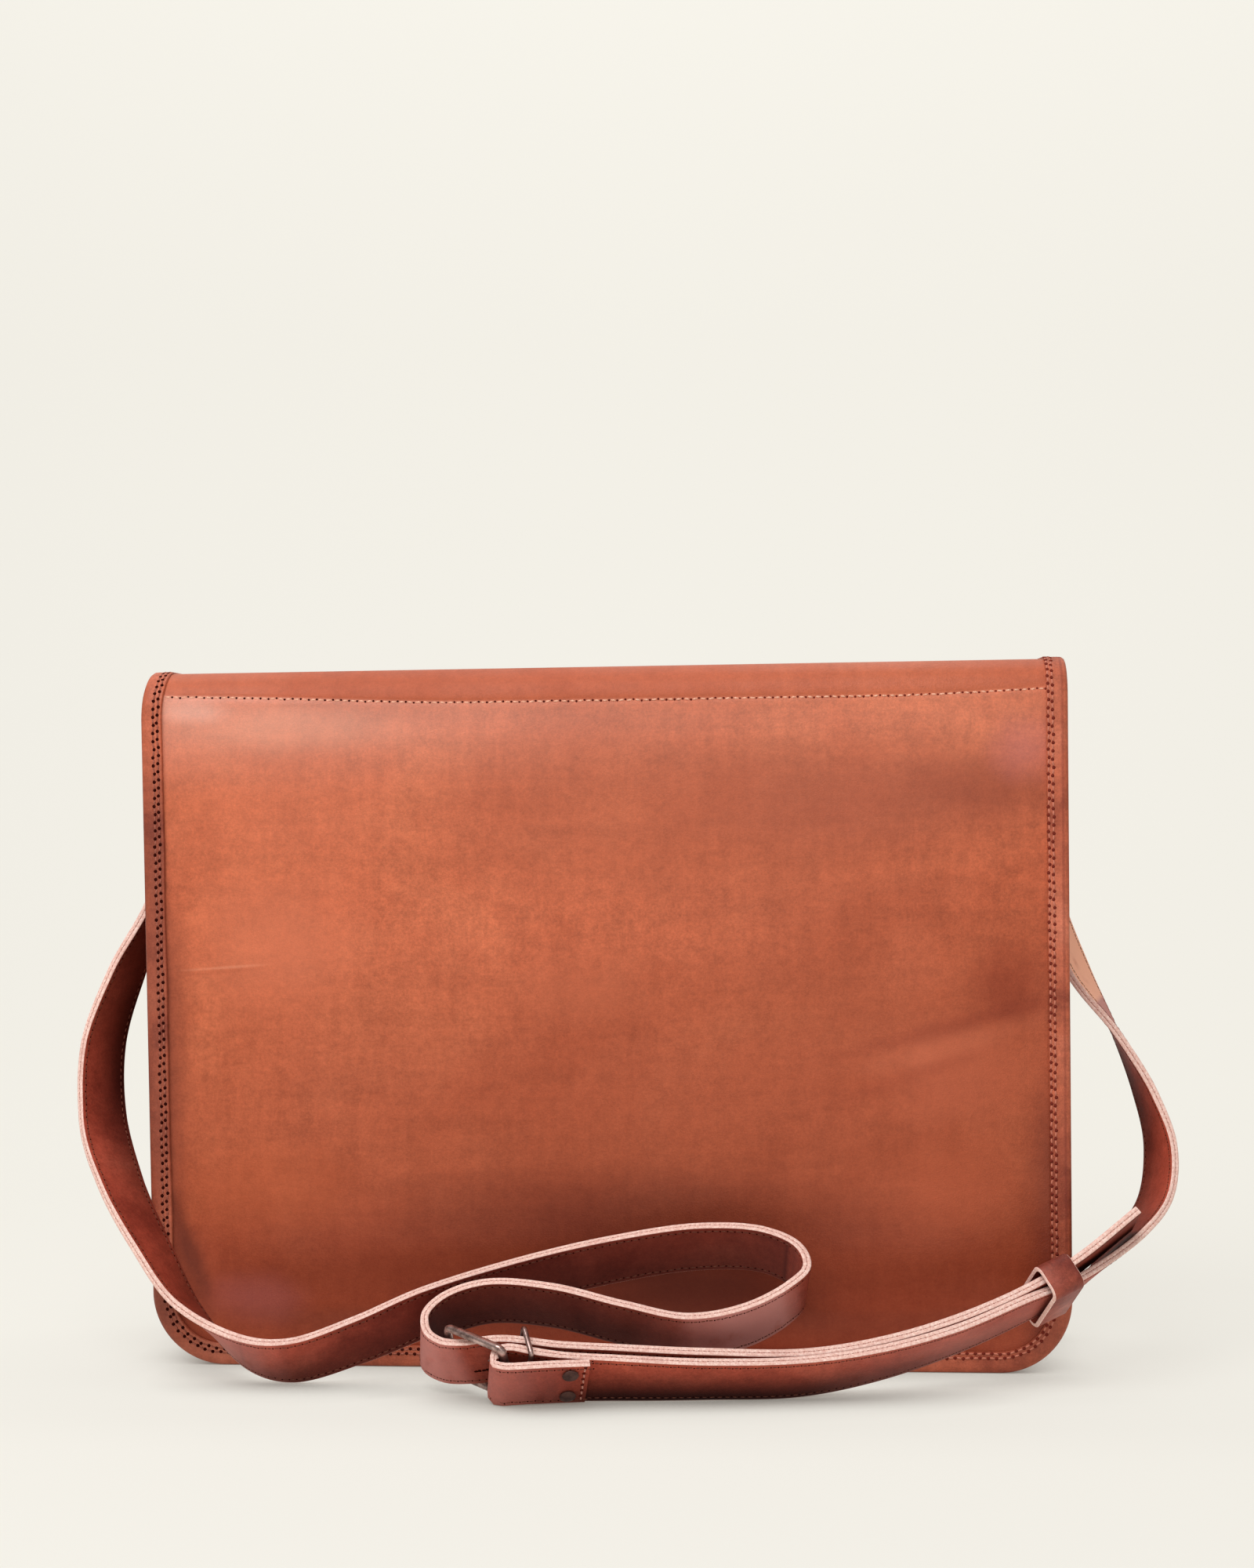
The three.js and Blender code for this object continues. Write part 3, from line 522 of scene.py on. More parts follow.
def loftMesh(name, rings, mats, closed=False, pick=None, capSlot=0, sharp=50):
    count = len(rings[0])
    faces, slots = [], []
    for s in range(len(rings) if closed else len(rings) - 1):
        a, b = s * count, (s + 1) % len(rings) * count
        for k in range(count):
            j = (k + 1) % count
            faces.append((a + k, a + j, b + j, b + k))
            slots.append(pick(k) if pick else 0)
    if not closed:
        last = (len(rings) - 1) * count
        for k in range(count // 2 - 1):
            far = count - 1 - k
            faces.append((k + 1, k, far, far - 1))
            faces.append((last + k, last + k + 1, last + far - 1, last + far))
            slots += [capSlot, capSlot]
    mesh = bpy.data.meshes.new(name)
    mesh.from_pydata([p for ring in rings for p in ring], [], faces)
    for mat in mats:
        mesh.materials.append(mat)
    mesh.polygons.foreach_set("material_index", slots)
    bm = bmesh.new()
    bm.from_mesh(mesh)
    bmesh.ops.recalc_face_normals(bm, faces=bm.faces)
    bm.to_mesh(mesh)
    bm.free()
    mesh.shade_smooth()
    mesh.set_sharp_from_angle(angle=math.radians(sharp))
    return newObject(name, mesh)


def pointValues(obj, label, values):
    obj.data.attributes.new(label, "FLOAT", "POINT").data.foreach_set("value", values)


# columns of a panel lie closer together towards its sides
columns = {"count": 96, "bunched": 0.35}
columnAt = []
for k in range(columns["count"] + 1):
    share = k / columns["count"]
    even = (2 * share - 1) * (1 - columns["bunched"])
    columnAt.append(-math.cos(math.pi * share) * columns["bunched"] + even)


def panelRings(rows, half, spot, swell):
    rings = []
    for v in rows:
        wide = half(v)
        lift = [swell(c * wide, v, wide) for c in columnAt]
        outer = [spot(c * wide, v, hide["thick"] + h) for c, h in zip(columnAt, lift)]
        inner = [spot(c * wide, v, h) for c, h in zip(columnAt, lift)]
        rings.append(outer + inner[::-1])
    return rings


def cornerRows(radius, count=16):
    return [edgeIn + (radius - edgeIn) * (1 - math.cos(k / count * math.pi / 2)) for k in range(count)]


hideHalf = bag["halfWidth"] - edgeIn


def frontWidth(v):
    return halfAt(v - edgeIn, hideHalf, bag["corner"] - edgeIn)


def hideWidth(v):
    return min(frontWidth(v), halfAt(hideEnd - edgeIn - v, hideHalf, bag["flapCorner"] - edgeIn))


def hideSwell(u, v, wide):
    inward = wide - abs(u) - tape["reach"]
    share = swellShare(inward)
    ripple = noise.noise(Vector((u * 14, v * 14, 3.1))) * hide["ripple"]
    ripple += noise.noise(Vector((u * 40, v * 34, 7.7))) * hide["fineRipple"]
    fromSeam = (v - readTable(seamLine, u)) / hide["grooveHalf"]
    groove = -hide["groove"] * math.exp(-fromSeam ** 2) * smooth(0, hide["grooveFade"], inward)
    if v < backRise:
        foot = smooth(tape["reach"] + edgeIn, hide["footEnd"], v)
        return readTable(backSwell, v) * share + ripple * share * foot + groove
    fall = smooth(fallStart, fallStart + hide["rise"], v)
    hem = smooth(0, hide["rise"], hideEnd - tape["reach"] - v)
    return (hide["flapSwell"] + ripple) * share * fall * hem + groove


def frontSwell(u, v, wide):
    share = swellShare(wide - abs(u) - tape["reach"])
    share *= swellShare(v - tape["reach"] - edgeIn) * swellShare(bag["mouth"] - v)
    return (hide["frontSwell"] + noise.noise(Vector((u * 14, v * 14, 9.2))) * hide["frontRipple"]) * share


# rows lie closest at the seam, then on the rolls
hideRows = cornerRows(bag["corner"]) + spread(bag["corner"], 0.290, 0.004)
hideRows += spread(0.2905, 0.3005, 0.0005) + spread(0.3015, rollEnd, 0.0015)
hideRows += spread(rollEnd + 0.004, topEnd, 0.004) + spread(topEnd + 0.0015, fallStart, 0.0015)
hideRows += spread(fallStart + 0.004, hideEnd - bag["flapCorner"], 0.004)
hideRows += [hideEnd - v for v in cornerRows(bag["flapCorner"])[::-1]]
hideSkin = loftMesh("hideSkin", panelRings(hideRows, hideWidth, onHide, hideSwell), [hideLeather])
pointValues(hideSkin, "pastSeam", [
    v - readTable(seamLine, c * hideWidth(v)) for v in hideRows for c in columnAt + columnAt[::-1]])

frontRows = cornerRows(bag["corner"]) + spread(bag["corner"], bag["mouth"], 0.005)
frontSkin = loftMesh("frontSkin", panelRings(frontRows, frontWidth, onFront, frontSwell), [hideLeather])


# places round an edge: u, v, inward u, inward v, length so far
def arcPlaces(u, v, radius, start, end, step):
    n = max(2, round(abs(end - start) * radius / step))
    out = []
    for k in range(n + 1):
        a = start + (end - start) * k / n
        out.append((u + radius * math.cos(a), v + radius * math.sin(a), -math.cos(a), -math.sin(a)))
    return out


def withLength(places, spot):
    out, total, last = [], 0.0, None
    for u, v, iu, iv in places:
        here = spot(u, v, 0)
        if last is not None:
            step = (here - last).length
            if step < 1e-5:
                continue
            total += step
        out.append((u, v, iu, iv, total))
        last = here
    return out


def footEdge(top, step):
    half, r = bag["halfWidth"], bag["corner"]
    flat = half - r
    places = [(-half, v, 1, 0) for v in spread(r, top, step)[::-1]]
    places += arcPlaces(-flat, r, r, math.pi, 1.5 * math.pi, step)
    places += [(u, 0, 0, 1) for u in spread(-flat, flat, step)]
    places += arcPlaces(flat, r, r, 1.5 * math.pi, 2 * math.pi, step)
    return places + [(half, v, -1, 0) for v in spread(r, top, step)]


def flapEdge(step):
    half, r, q = bag["halfWidth"], bag["corner"], bag["flapCorner"]
    flat, turn = half - r, hideEnd - q
    side = spread(r, turn, step)
    places = [(u, 0, 0, 1) for u in spread(-flat, flat, step)]
    places += arcPlaces(flat, r, r, 1.5 * math.pi, 2 * math.pi, step)
    places += [(half, v, -1, 0) for v in side]
    places += arcPlaces(half - q, turn, q, 0, math.pi / 2, step)
    places += [(u, hideEnd, 0, -1) for u in spread(-half + q, half - q, step)[::-1]]
    places += arcPlaces(q - half, turn, q, math.pi / 2, math.pi, step)
    places += [(-half, v, 1, 0) for v in side[::-1]]
    return places + arcPlaces(-flat, r, r, math.pi, 1.5 * math.pi, step)


gusset = {"thick": 0.0016, "set": 0.0122, "bend": 0.0025, "bendParts": 5, "ripple": 0.0006}
seamStack = bag["gap"] + gusset["thick"]


def tapeDepth(v):
    return seamStack * (1 - smooth(bag["gussetTop"] + bag["gap"], backRise, v))


def tapeTop(press):
    gap = bag["gap"] * (1 - tape["closed"] * press)
    return hide["thick"] + gap + tape["thick"] * (1 - tape["thinned"] * press)


def tapeRing(spot, at, depth):
    u, v, iu, iv, s = at
    t, under = tape["thick"], tape["under"]
    press = overTop(v) if spot is onHide else 0
    front = tapeTop(press)
    top = t * (1 - tape["thinned"] * press)
    back = -bag["gap"] - depth - t
    # leather puckers between the stitches and wanders a little at its cut edge
    pull = tape["pucker"] * math.cos(2 * math.pi * s / tape["pitch"])
    cut = tape["reach"] + tape["wander"] * noise.noise(Vector((s * tape["wanderRate"], 0.4, 1.7)))
    r = tape["footRound"] if iv == 1 else tape["round"]
    row = sum(tape["rows"]) / 2 + tape["drift"] * u / bag["halfWidth"]
    section = [  # in from the edge, out from the hide
        (cut, front - 0.0005), (cut - 0.0004, front), (row + 0.0012, front - 0.00012 + pull),
        (row, front + 0.00008), (row - 0.0012, front - 0.00012 - pull), (0.0034, front),
        (r, front - 0.0001), (0.0004, front - 0.0009), (0, front - 0.0019),
        (0, back + 0.0019), (0.0004, back + 0.0009), (r, back + 0.0001),
        (0.0028, back), (under - 0.0004, back), (under, back + 0.0005),
        (under, back + t), (t + 0.0003, back + t), (t, back + t + 0.0003),
        (t, front - top - 0.0003), (t + 0.0003, front - top), (cut, front - top), (cut, front - 0.7 * top),
    ]
    return [spot(u + a * iu, v + a * iv, n) for a, n in section]


tapeStep = tape["pitch"] / 4
flapPlaces = withLength(flapEdge(tapeStep), onHide)
flapRings = [tapeRing(onHide, at, tapeDepth(at[1])) for at in flapPlaces]
edgeTape = loftMesh("edgeTape", flapRings, [tapeLeather], closed=True)
footPlaces = withLength(footEdge(bag["mouth"], tapeStep), onFront)
frontTape = loftMesh("frontTape", [tapeRing(onFront, at, seamStack) for at in footPlaces], [tapeLeather])


def gussetRing(at):
    u, v, iu, iv, s = at
    low, high, t = bag["gap"], bag["depth"] - bag["gap"], gusset["thick"]
    wall, bend, parts = gusset["set"], gusset["bend"], gusset["bendParts"]
    chain = [(edgeIn, 0), (wall - bend, 0)]
    for k in range(1, parts + 1):
        a = k / parts * math.pi / 2
        chain.append((wall - bend + bend * math.sin(a), bend * (1 - math.cos(a))))
    chain += [(wall, y) for y in spread(bend, bag["depth"] / 2 - low - t, 0.006)[1:]]
    waves = []
    for a, y in chain:
        wave = noise.noise(Vector((s * 22, y * 40, 5.0)))
        waves.append(gusset["ripple"] * wave * smooth(bend, 0.02, y))
    outside = [(a + w, low + t + y) for (a, y), w in zip(chain, waves)]
    inside = [(a + w + (t if y > 0 else 0) * min(y / bend, 1), low + y) for (a, y), w in zip(chain, waves)]
    outside += [(a, low + high - y) for a, y in outside[-2::-1]]
    inside += [(a, low + high - y) for a, y in inside[-2::-1]]
    return [settle(u + a * iu, y, v + a * iv) for a, y in outside + inside[::-1]]


gussetPlaces = withLength(footEdge(bag["gussetTop"], 0.004), onFront)
gussetSkin = loftMesh("gussetSkin", [gussetRing(at) for at in gussetPlaces], [gussetLeather])

print("stage 3: shoulder strap")

strap = {
    "wide": 0.025, "ply": 0.00175, "gap": 0.00006, "corner": 0.0003, "crease": 0.00012, "step": 0.0018,
    "stitchIn": 0.0022, "foldShade": 0.3, "foldHalf": 0.022, "maxShade": 0.95,
}
strapFar = strap["gap"] / 2 + strap["ply"]  # from the middle of the strap to its face
longStrap = [  # x, y, z in mm, tip of the near edge from upright, bearing of that lean
    (-199.6, 44, 280, 90, 0), (-201.2, 44, 245, 90, 2), (-210.8, 44, 205, 90, 10), (-225.8, 41, 171, 90, 25),
    (-235, 35, 139, 90, 32), (-231.9, 20.5, 107.3, 90, 33), (-217.8, -6, 81.7, 88, 31),
    (-198.8, -27, 56.3, 83, 25), (-180.5, -34, 31, 72, 15), (-153.5, -43.2, 13.8, 47.5, 4),
    (-134, -45.9, 11.4, 37.5, 0), (-106, -42, 19.5, 32, 0), (-76, -37, 31.5, 28, 0), (-37, -29, 43, 31, 0),
    (4, -25, 52.5, 33, 0), (41, -24, 58, 34, 0), (68, -28, 57.5, 36, -4), (82, -35, 52, 37, -8),
    (85, -42, 45, 38, -8), (78, -48, 38.5, 38, -8), (60, -54, 30, 38, -4), (36, -56, 26, 38, 0),
    (8, -55, 31, 38, 0), (-21, -51, 37, 38, 0), (-50, -46, 37.5, 38, -2), (-68, -47, 31.5, 38, -6),
    (-75, -51.5, 25.5, 38, -8), (-74.5, -57.5, 19.5, 38, -8), (-67, -62.5, 16, 38, -2),
    (-55, -66, 16.2, 39, 3), (-40, -69.6, 19, 40, 6), (-18, -68.65, 16.6, 40, 3), (8, -66.4, 15.2, 41, 0),
    (44, -64.5, 14.4, 46, 0), (84, -57.82, 13.84, 50, 0), (116, -51.84, 18.24, 52.5, 0),
    (148, -44.42, 26.83, 55.5, 0), (178, -33.96, 38.36, 59.5, 0), (201, -26, 51.2, 64, 0),
    (227.6, -14.4, 70, 64.5, 0),
]
shortStrap = [
    (191.5, 44, 280, 90, 0), (193.3, 44, 245, 90, 6), (197.5, 45, 207, 90, 26), (210, 43, 174, 90, 26),
    (227.3, 40, 145, 90, 2), (239, 37, 120, 90, -13), (245, 30, 97, 90, -19), (241.8, 17, 76, 88, -18),
    (229.5, 3, 61, 86, -10), (203.3, -19.5, 42.8, 67.5, -2), (178, -36, 34.2, 58.5, 0),
    (148, -47, 23.3, 55.5, 0), (116, -55.4, 15, 49.5, 0), (84, -62.4, 10.6, 44, 0), (44, -69.6, 10.6, 43, 0),
    (8, -72.9, 11.5, 37, 0), (-14, -75, 12.6, 34.5, 0), (-30, -74.7, 15.8, 42, 0), (-38.2, -75.4, 17, 42, -4),
    (-42.3, -76.3, 16.1, 42, -9), (-44, -78.8, 13.8, 42, -10), (-42.7, -81.8, 11.2, 42, -10),
    (-38.6, -83.2, 10.7, 42, -7), (-28, -82.7, 11.1, 42, -3), (-18, -80.5, 11.2, 42, -1),
    (-5, -77.8, 11.2, 42, 0),
]


def edgeWay(tip, toward):
    t, b = math.radians(tip), math.radians(toward)
    return Vector((-math.sin(t) * math.sin(b), -math.sin(t) * math.cos(b), math.cos(t)))


def centripetal(points, k, w):
    # Catmull-Rom between points k and k+1, chord weights as in the CAD source
    p1, p2 = points[k], points[k + 1]
    p0 = points[k - 1] if k > 0 else 2 * p1 - p2
    p3 = points[k + 2] if k + 2 < len(points) else 2 * p2 - p1
    d0, d1, d2 = (max(math.sqrt((b - a).length), 1e-6) for a, b in ((p0, p1), (p1, p2), (p2, p3)))
    t1 = ((p1 - p0) / d0 - (p2 - p0) / (d0 + d1) + (p2 - p1) / d1) * d1
    t2 = ((p2 - p1) / d1 - (p3 - p1) / (d1 + d2) + (p3 - p2) / d2) * d1
    c2 = 3 * (p2 - p1) - 2 * t1 - t2
    c3 = 2 * (p1 - p2) + t1 + t2
    return p1 + t1 * w + c2 * w * w + c3 * w ** 3


def strapFrames(table):
    # frames along a strap: middle, edge way, face way, heading, row of the table
    middles = [Vector(row[:3]) * 0.001 for row in table]
    rims = [m + edgeWay(row[3], row[4]) * strap["wide"] / 2 for m, row in zip(middles, table)]
    places = []
    for k in range(len(table) - 1):
        parts = max(2, round((middles[k + 1] - middles[k]).length / strap["step"]))
        places += [(k, j / parts) for j in range(parts)]
    places.append((len(table) - 2, 1.0))
    line = [centripetal(middles, *at) for at in places]
    frames = []
    for i, at in enumerate(places):
        ahead, behind = line[min(i + 1, len(line) - 1)], line[max(i - 1, 0)]
        heading = (ahead - behind).normalized()
        edge = centripetal(rims, *at) - line[i]
        edge = (edge - heading * edge.dot(heading)).normalized()
        frames.append((line[i], edge, heading.cross(edge), heading, at[0] + at[1]))
    return frames


def plyOutline():
    # across the strap, out from its middle
    half, c, d = strap["wide"] / 2, strap["corner"], strap["crease"]
    near, far = strap["gap"] / 2, strapFar
    return [(half - c, far), (half * 0.88, far), (half * 0.5, far), (-half * 0.5, far), (-half * 0.88, far),
            (c - half, far), (-half, far - c), (-half, near + d), (d - half, near), (d / 2, near),
            (-d / 2, near), (half - d, near), (half, near + d), (half, far - c)]


def faceSlot(k):
    # grain on both faces of a ply, raw edge between them
    return 0 if k < 5 or 8 <= k <= 10 else 1


plyPaintedLight = {  # painted light on each ply along the rows of its strap: row, painted shade, painted shade towards the floor side, painted sheen
    "longStrapOuter": [
        (0, 0.7, 0.2, 0), (2.6, 0.8, 0.4, 0), (3.4, 0.5, 0.9, 0), (4.4, 0.25, 0.95, 0), (5.6, 0.15, 0.65, 0),
        (6.6, 0.1, 0.4, 0.05), (7.5, 0.12, 0.35, 0.05), (8.2, 0.12, 0.45, 0.45), (8.7, 0.1, 0.5, 0.52),
        (9.1, 0.1, 0.6, 0.34), (9.6, 0.14, 0.75, 0.14), (10.1, 0.3, 0.8, 0.02), (11, 0.5, 0.6, 0),
        (12, 0.62, 0.5, 0), (13, 0.64, 0.4, 0), (15, 0.66, 0.4, 0), (16.5, 0.62, 0.3, 0.04),
        (17.2, 0.4, 0.2, 0.1), (18, 0.4, 0.3, 0), (24.5, 0.35, 0.3, 0), (25.8, 0.05, 0, 0.5),
        (26.6, 0, 0, 0.75), (27.6, 0, 0, 0.72), (28.4, 0.02, 0.05, 0.5), (29.2, 0.3, 0.4, 0),
        (31, 0.4, 0.5, 0), (37, 0.4, 0.6, 0), (38, 0.6, 0.8, 0), (39, 0.6, 0.8, 0)],
    "longStrapInner": [
        (0, 0.7, 0.2, 0), (2.6, 0.8, 0.4, 0), (3.4, 0.5, 0.9, 0), (4.4, 0.25, 0.95, 0), (5.6, 0.15, 0.65, 0),
        (7, 0.2, 0.4, 0), (8, 0.4, 0.4, 0), (12, 0.5, 0.4, 0), (17, 0.5, 0.3, 0), (18.4, 0.3, 0.25, 0),
        (18.9, 0.15, 0.2, 0.35), (19.3, 0.02, 0.05, 0.9), (20.2, 0.04, 0.15, 0.93), (20.8, 0.15, 0.3, 0.6),
        (21.3, 0.48, 0.45, 0.12), (21.9, 0.7, 0.5, 0.02), (24, 0.74, 0.5, 0), (26, 0.78, 0.5, 0),
        (28, 0.7, 0.5, 0), (39, 0.4, 0.5, 0)],
    "shortStrapOuter": [
        (0, 0.1, 0.1, 0.3), (1.5, 0, 0, 1), (3.4, 0, 0, 1), (4.1, 0.1, 0.1, 0.25), (5, 0.15, 0.2, 0),
        (8, 0.25, 0.3, 0), (9, 0.2, 0.4, 0.2), (10, 0.18, 0.5, 0.2), (11, 0.18, 0.65, 0.2),
        (12, 0.2, 0.8, 0.12), (13, 0.2, 0.95, 0.02), (14, 0.15, 1, 0), (15, 0.12, 1, 0), (16, 0.12, 0.95, 0),
        (18, 0.3, 0.8, 0), (25, 0.4, 0.5, 0)],
    "shortStrapInner": [
        (0, 0.1, 0.1, 0), (3, 0, 0.2, 0), (5, 0, 0.75, 0), (7.2, 0.05, 0.6, 0), (8.2, 0.7, 0.5, 0),
        (9.6, 0.85, 0.5, 0), (12, 0.5, 0.4, 0), (19, 0.3, 0.4, 0), (20.5, 0, 0.1, 0.42), (21.5, 0, 0.2, 0.42),
        (22.5, 0, 0.35, 0.28), (23.5, 0, 0.5, 0.12), (25, 0.02, 0.75, 0)],
}
shadedFolds = {"longStrapOuter": (8.86, 8.95, 9.04, 16.5, 16.66, 16.84, 17.02)}  # rows where a fold across gets painted shade


def markStrap(obj, frames):
    looks = plyPaintedLight[obj.name]
    values = {"across": acrossShares * len(frames), "paintedShade": [], "under": [], "paintedSheen": []}
    for *_, row in frames:
        for column, label in ((1, "paintedShade"), (2, "under"), (3, "paintedSheen")):
            value = readTable([(look[0], look[column]) for look in looks], row)
            if label == "paintedShade":
                for at in shadedFolds.get(obj.name, ()):
                    value += strap["foldShade"] * math.exp(-((row - at) / strap["foldHalf"]) ** 2)
                value = min(value, strap["maxShade"])
            values[label] += [value] * len(plySection)
    for label, numbers in values.items():
        pointValues(obj, label, numbers)


plySection = plyOutline()
acrossShares = [a / (strap["wide"] / 2) for a, n in plySection]
longFrames = strapFrames(longStrap)
shortFrames = strapFrames(shortStrap)
plies = [  # name, frames of its strap, side of the middle, leather
    ("longStrapOuter", longFrames, 1, strapFace), ("longStrapInner", longFrames, -1, strapLining),
    ("shortStrapOuter", shortFrames, -1, strapFace), ("shortStrapInner", shortFrames, 1, strapLining),
]
straps = {}
for name, frames, side, mat in plies:
    rings = [[m + e * a + f * side * n for a, n in plySection] for m, e, f, h, r in frames]
    straps[name] = loftMesh(name, rings, [mat, strapEdge], pick=faceSlot, capSlot=1)
    markStrap(straps[name], frames)

print("stage 4: buckle, keepers and rivets")


def rodMesh(name, line, side, radius, closed, sides=16, taper=None, mat=bronze):
    rings = []
    for k, (p, h) in enumerate(zip(*line)):
        up = (side - h * side.dot(h)).normalized()
        out = h.cross(up)
        r = radius * (taper[k] if taper else 1)
        angles = [2 * math.pi * (j + 0.5) / sides for j in range(sides)]
        rings.append([p + up * r * math.cos(a) + out * r * math.sin(a) for a in angles])
    return loftMesh(name, rings, [mat], closed=closed, sharp=60)


def ringLine(middle, right, up, halfRight, halfUp, rounding, steps):
    # places and headings round a rectangle with rounded corners
    places, headings = [], []
    for sr, su, start in ((1, 1, 0), (-1, 1, 90), (-1, -1, 180), (1, -1, 270)):
        for k in range(steps + 1):
            a = math.radians(start + 90 * k / steps)
            places.append(middle + right * (sr * (halfRight - rounding) + rounding * math.cos(a))
                          + up * (su * (halfUp - rounding) + rounding * math.sin(a)))
            headings.append((up * math.cos(a) - right * math.sin(a)).normalized())
    return places, headings


buckle = {"rod": 0.00175, "half": 0.0159, "round": 0.003, "tip": 41, "toward": 6,
          "heel": Vector((-0.038, -0.0792, 0.0142)), "end": Vector((-0.063, -0.0598, 0.0193))}
frameWay = edgeWay(buckle["tip"], buckle["toward"])
frameReach = buckle["heel"] - buckle["end"]
frameRight = frameReach.normalized()
frameBack = frameWay.cross(frameRight).normalized()
frameMiddle = (buckle["heel"] + buckle["end"]) / 2
frameLong = frameReach.length / 2
frameLine = ringLine(frameMiddle, frameRight, frameWay, frameLong, buckle["half"], buckle["round"], 8)
buckleFrame = rodMesh("buckleFrame", frameLine, frameBack, buckle["rod"], True)

prong = {"radius": 0.0011, "past": 0.0035, "eyeFrom": -150, "eyeTurn": 240, "eyeParts": 24}
pinShares = [(0.25, 1), (0.5, 1), (0.75, 1), (0.92, 1), (0.97, 0.85), (1.0, 0.45)]  # along the pin, taper
eye = buckle["rod"] + bag["gap"] + prong["radius"]
pinPlaces, pinHeadings = [], []
for k in range(prong["eyeParts"] + 1):
    a = math.radians(prong["eyeFrom"] + prong["eyeTurn"] * k / prong["eyeParts"])
    pinPlaces.append(buckle["heel"] + frameRight * eye * math.cos(a) + frameBack * eye * math.sin(a))
    pinHeadings.append(frameBack * math.cos(a) - frameRight * math.sin(a))
pinTaper = [1] * len(pinPlaces) + [r for s, r in pinShares]
pinLong = 2 * frameLong + buckle["rod"] + prong["past"]
eyeEnd = pinPlaces[-1]
pinPlaces += [eyeEnd - frameRight * pinLong * s for s, r in pinShares]
pinHeadings += [-frameRight] * len(pinShares)
pinLine = (pinPlaces, pinHeadings)
bucklePin = rodMesh("bucklePin", pinLine, frameWay, prong["radius"], False, taper=pinTaper)


def frameAt(frames, x):
    return min(frames, key=lambda f: abs(f[0].x - x))


def rowsBetween(frames, first, last):
    return [f for f in frames if first <= f[4] <= last]


tailFrames = rowsBetween(longFrames, 30, 39)  # free end, from the buckle on
bodyFrames = rowsBetween(shortFrames, 9, 18)  # short strap under it
tabFrames = rowsBetween(shortFrames, 22, 25)  # tab, folded back round the heel bar


def strapPair(x):
    tail, body = frameAt(tailFrames, x), frameAt(bodyFrames, x)
    up = (tail[1] + body[1]).normalized()
    heading = (body[3] - up * body[3].dot(up)).normalized()
    back = heading.cross(up)
    apart = tail[0] - body[0]
    thick = abs(apart.dot(back)) + 2 * strap["ply"] + bag["gap"]
    return (tail[0] + body[0]) / 2, up, back, heading, thick, abs(apart.dot(up)) + strap["wide"]


wireKeeper = {"radius": 0.0011, "at": -0.032, "clear": 0.0008, "skew": 0.4, "round": 1.6}
middle, up, back, heading, thick, tall = strapPair(wireKeeper["at"])
lift = wireKeeper["clear"] + wireKeeper["radius"]
wireLine = ringLine(middle, back + heading * wireKeeper["skew"], up, thick / 2 + lift, tall / 2 + lift,
                    wireKeeper["radius"] * wireKeeper["round"], 6)
wireLoop = rodMesh("wireLoop", wireLine, heading, wireKeeper["radius"], True, 12)

keeper = {"at": 0.190, "wide": 0.015, "thick": 0.0018, "clear": 0.00215, "round": 0.003, "bevel": 0.0003}
middle, up, back, heading, thick, tall = strapPair(keeper["at"])


def bandLine(more):
    out = keeper["clear"] + more
    return ringLine(middle, back, up, thick / 2 + out, tall / 2 + out, keeper["round"] + more, 8)[0]


bandRings = []
for inner, outer in zip(bandLine(0), bandLine(keeper["thick"])):
    half, c = heading * keeper["wide"] / 2, keeper["bevel"]
    out = (outer - inner).normalized() * c
    bandRings.append([outer + half - heading * c, outer - half + heading * c, outer - half - out,
                      inner - half, inner + half, outer + half - out])
keeperBand = loftMesh("keeperBand", bandRings, [keeperLeather, strapEdge], closed=True,
                      pick=lambda k: 0 if k in (0, 3) else 1)

rivet = {"at": -0.013, "aside": 0.007, "radius": 0.0034, "high": 0.0011, "seat": 0.00045}
rivetDome = [  # height, width
    (0, 0.98), (0.25, 1.0), (0.42, 1.0), (0.6, 0.9), (0.8, 0.68), (0.93, 0.4), (1.0, 0.08)]
tabMiddle, tabEdge, tabFace, tabHeading, tabRow = frameAt(tabFrames, rivet["at"])
tabFront = tabFace if tabFace.y < 0 else -tabFace
rivets = []
for name, side in (("rivetUpper", 1), ("rivetLower", -1)):
    seat = tabMiddle + tabEdge * side * rivet["aside"] + tabFront * (strap["ply"] + rivet["seat"])
    domeLine = ([seat + tabFront * rivet["high"] * h for h, r in rivetDome], [tabFront] * len(rivetDome))
    domeTaper = [r for h, r in rivetDome]
    rivets.append(rodMesh(name, domeLine, tabEdge, rivet["radius"], False, 28, domeTaper, rivetBronze))

print("stage 5: stitches")


